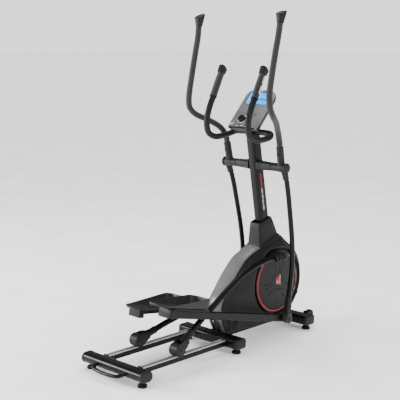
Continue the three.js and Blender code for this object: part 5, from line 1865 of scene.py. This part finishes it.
class TRAINER_OT_housing(bpy.types.Operator):
    """Side shells, rear cover and mast collar"""
    bl_idname = "trainer.housing"
    bl_label = "Housing"

    def execute(self, context):
        build_side_covers()
        build_rear_cover()
        build_collar()
        return {"FINISHED"}


class TRAINER_OT_drive(bpy.types.Operator):
    """Crank discs, pulley, belt and flywheel"""
    bl_idname = "trainer.drive"
    bl_label = "Cranks and drive"

    def execute(self, context):
        build_crank_discs()
        build_drive()
        return {"FINISHED"}


class TRAINER_OT_mast(bpy.types.Operator):
    """Mast and the shrouded axle of the swing arms"""
    bl_idname = "trainer.mast"
    bl_label = "Mast and axle"

    def execute(self, context):
        build_mast()
        build_axle_covers()
        return {"FINISHED"}


class TRAINER_OT_handlebar(bpy.types.Operator):
    """Fixed handlebar with its pulse grips"""
    bl_idname = "trainer.handlebar"
    bl_label = "Fixed handlebar"

    def execute(self, context):
        build_handlebar()
        build_fixed_grips()
        return {"FINISHED"}


class TRAINER_OT_console(bpy.types.Operator):
    """Console case, display, knob, keys and neck"""
    bl_idname = "trainer.console"
    bl_label = "Console"

    def execute(self, context):
        build_console()
        return {"FINISHED"}


class TRAINER_OT_arms(bpy.types.Operator):
    """Swing arms with their hubs, foam and foot covers"""
    bl_idname = "trainer.arms"
    bl_label = "Swing arms"

    def execute(self, context):
        for name, side in SIDES:
            build_arm(name, side)
        return {"FINISHED"}


class TRAINER_OT_pedals(bpy.types.Operator):
    """Pedal beams and foot trays"""
    bl_idname = "trainer.pedals"
    bl_label = "Pedals"

    def execute(self, context):
        build_pedals()
        return {"FINISHED"}


class TRAINER_OT_links(bpy.types.Operator):
    """Curved links with their crank knuckles, hoods and rollers"""
    bl_idname = "trainer.links"
    bl_label = "Links and rollers"

    def execute(self, context):
        build_links()
        return {"FINISHED"}


OPERATORS = (TRAINER_OT_stage, TRAINER_OT_base, TRAINER_OT_main_frame, TRAINER_OT_housing, TRAINER_OT_drive,
             TRAINER_OT_mast, TRAINER_OT_handlebar, TRAINER_OT_console, TRAINER_OT_arms, TRAINER_OT_pedals,
             TRAINER_OT_links)


class TRAINER_PT_panel(bpy.types.Panel):
    """Lists the build steps and their sizes and colours"""
    bl_label = "Elliptical trainer"
    bl_idname = "TRAINER_PT_panel"
    bl_space_type = "VIEW_3D"
    bl_region_type = "UI"
    bl_category = "Trainer"

    def draw(self, context):
        column = self.layout.column()
        for group in (context.scene.trainer_sizes, context.scene.trainer_colours):
            for key in group.__annotations__:
                column.prop(group, key)
        for operator in OPERATORS:
            column.operator(operator.bl_idname)


CLASSES = (TrainerColours, TrainerSizes, *OPERATORS, TRAINER_PT_panel)


def register():
    for made in CLASSES:
        bpy.utils.register_class(made)
    bpy.types.Scene.trainer_colours = PointerProperty(type=TrainerColours)
    bpy.types.Scene.trainer_sizes = PointerProperty(type=TrainerSizes)


def unregister():
    del bpy.types.Scene.trainer_sizes
    del bpy.types.Scene.trainer_colours
    for made in reversed(CLASSES):
        bpy.utils.unregister_class(made)


def corners(box):
    low, high = box
    return [list(low), list(high)]


def main():
    register()
    for operator in OPERATORS:
        group, name = operator.bl_idname.split(".")
        getattr(getattr(bpy.ops, group), name)()


if __name__ == "__main__":
    main()
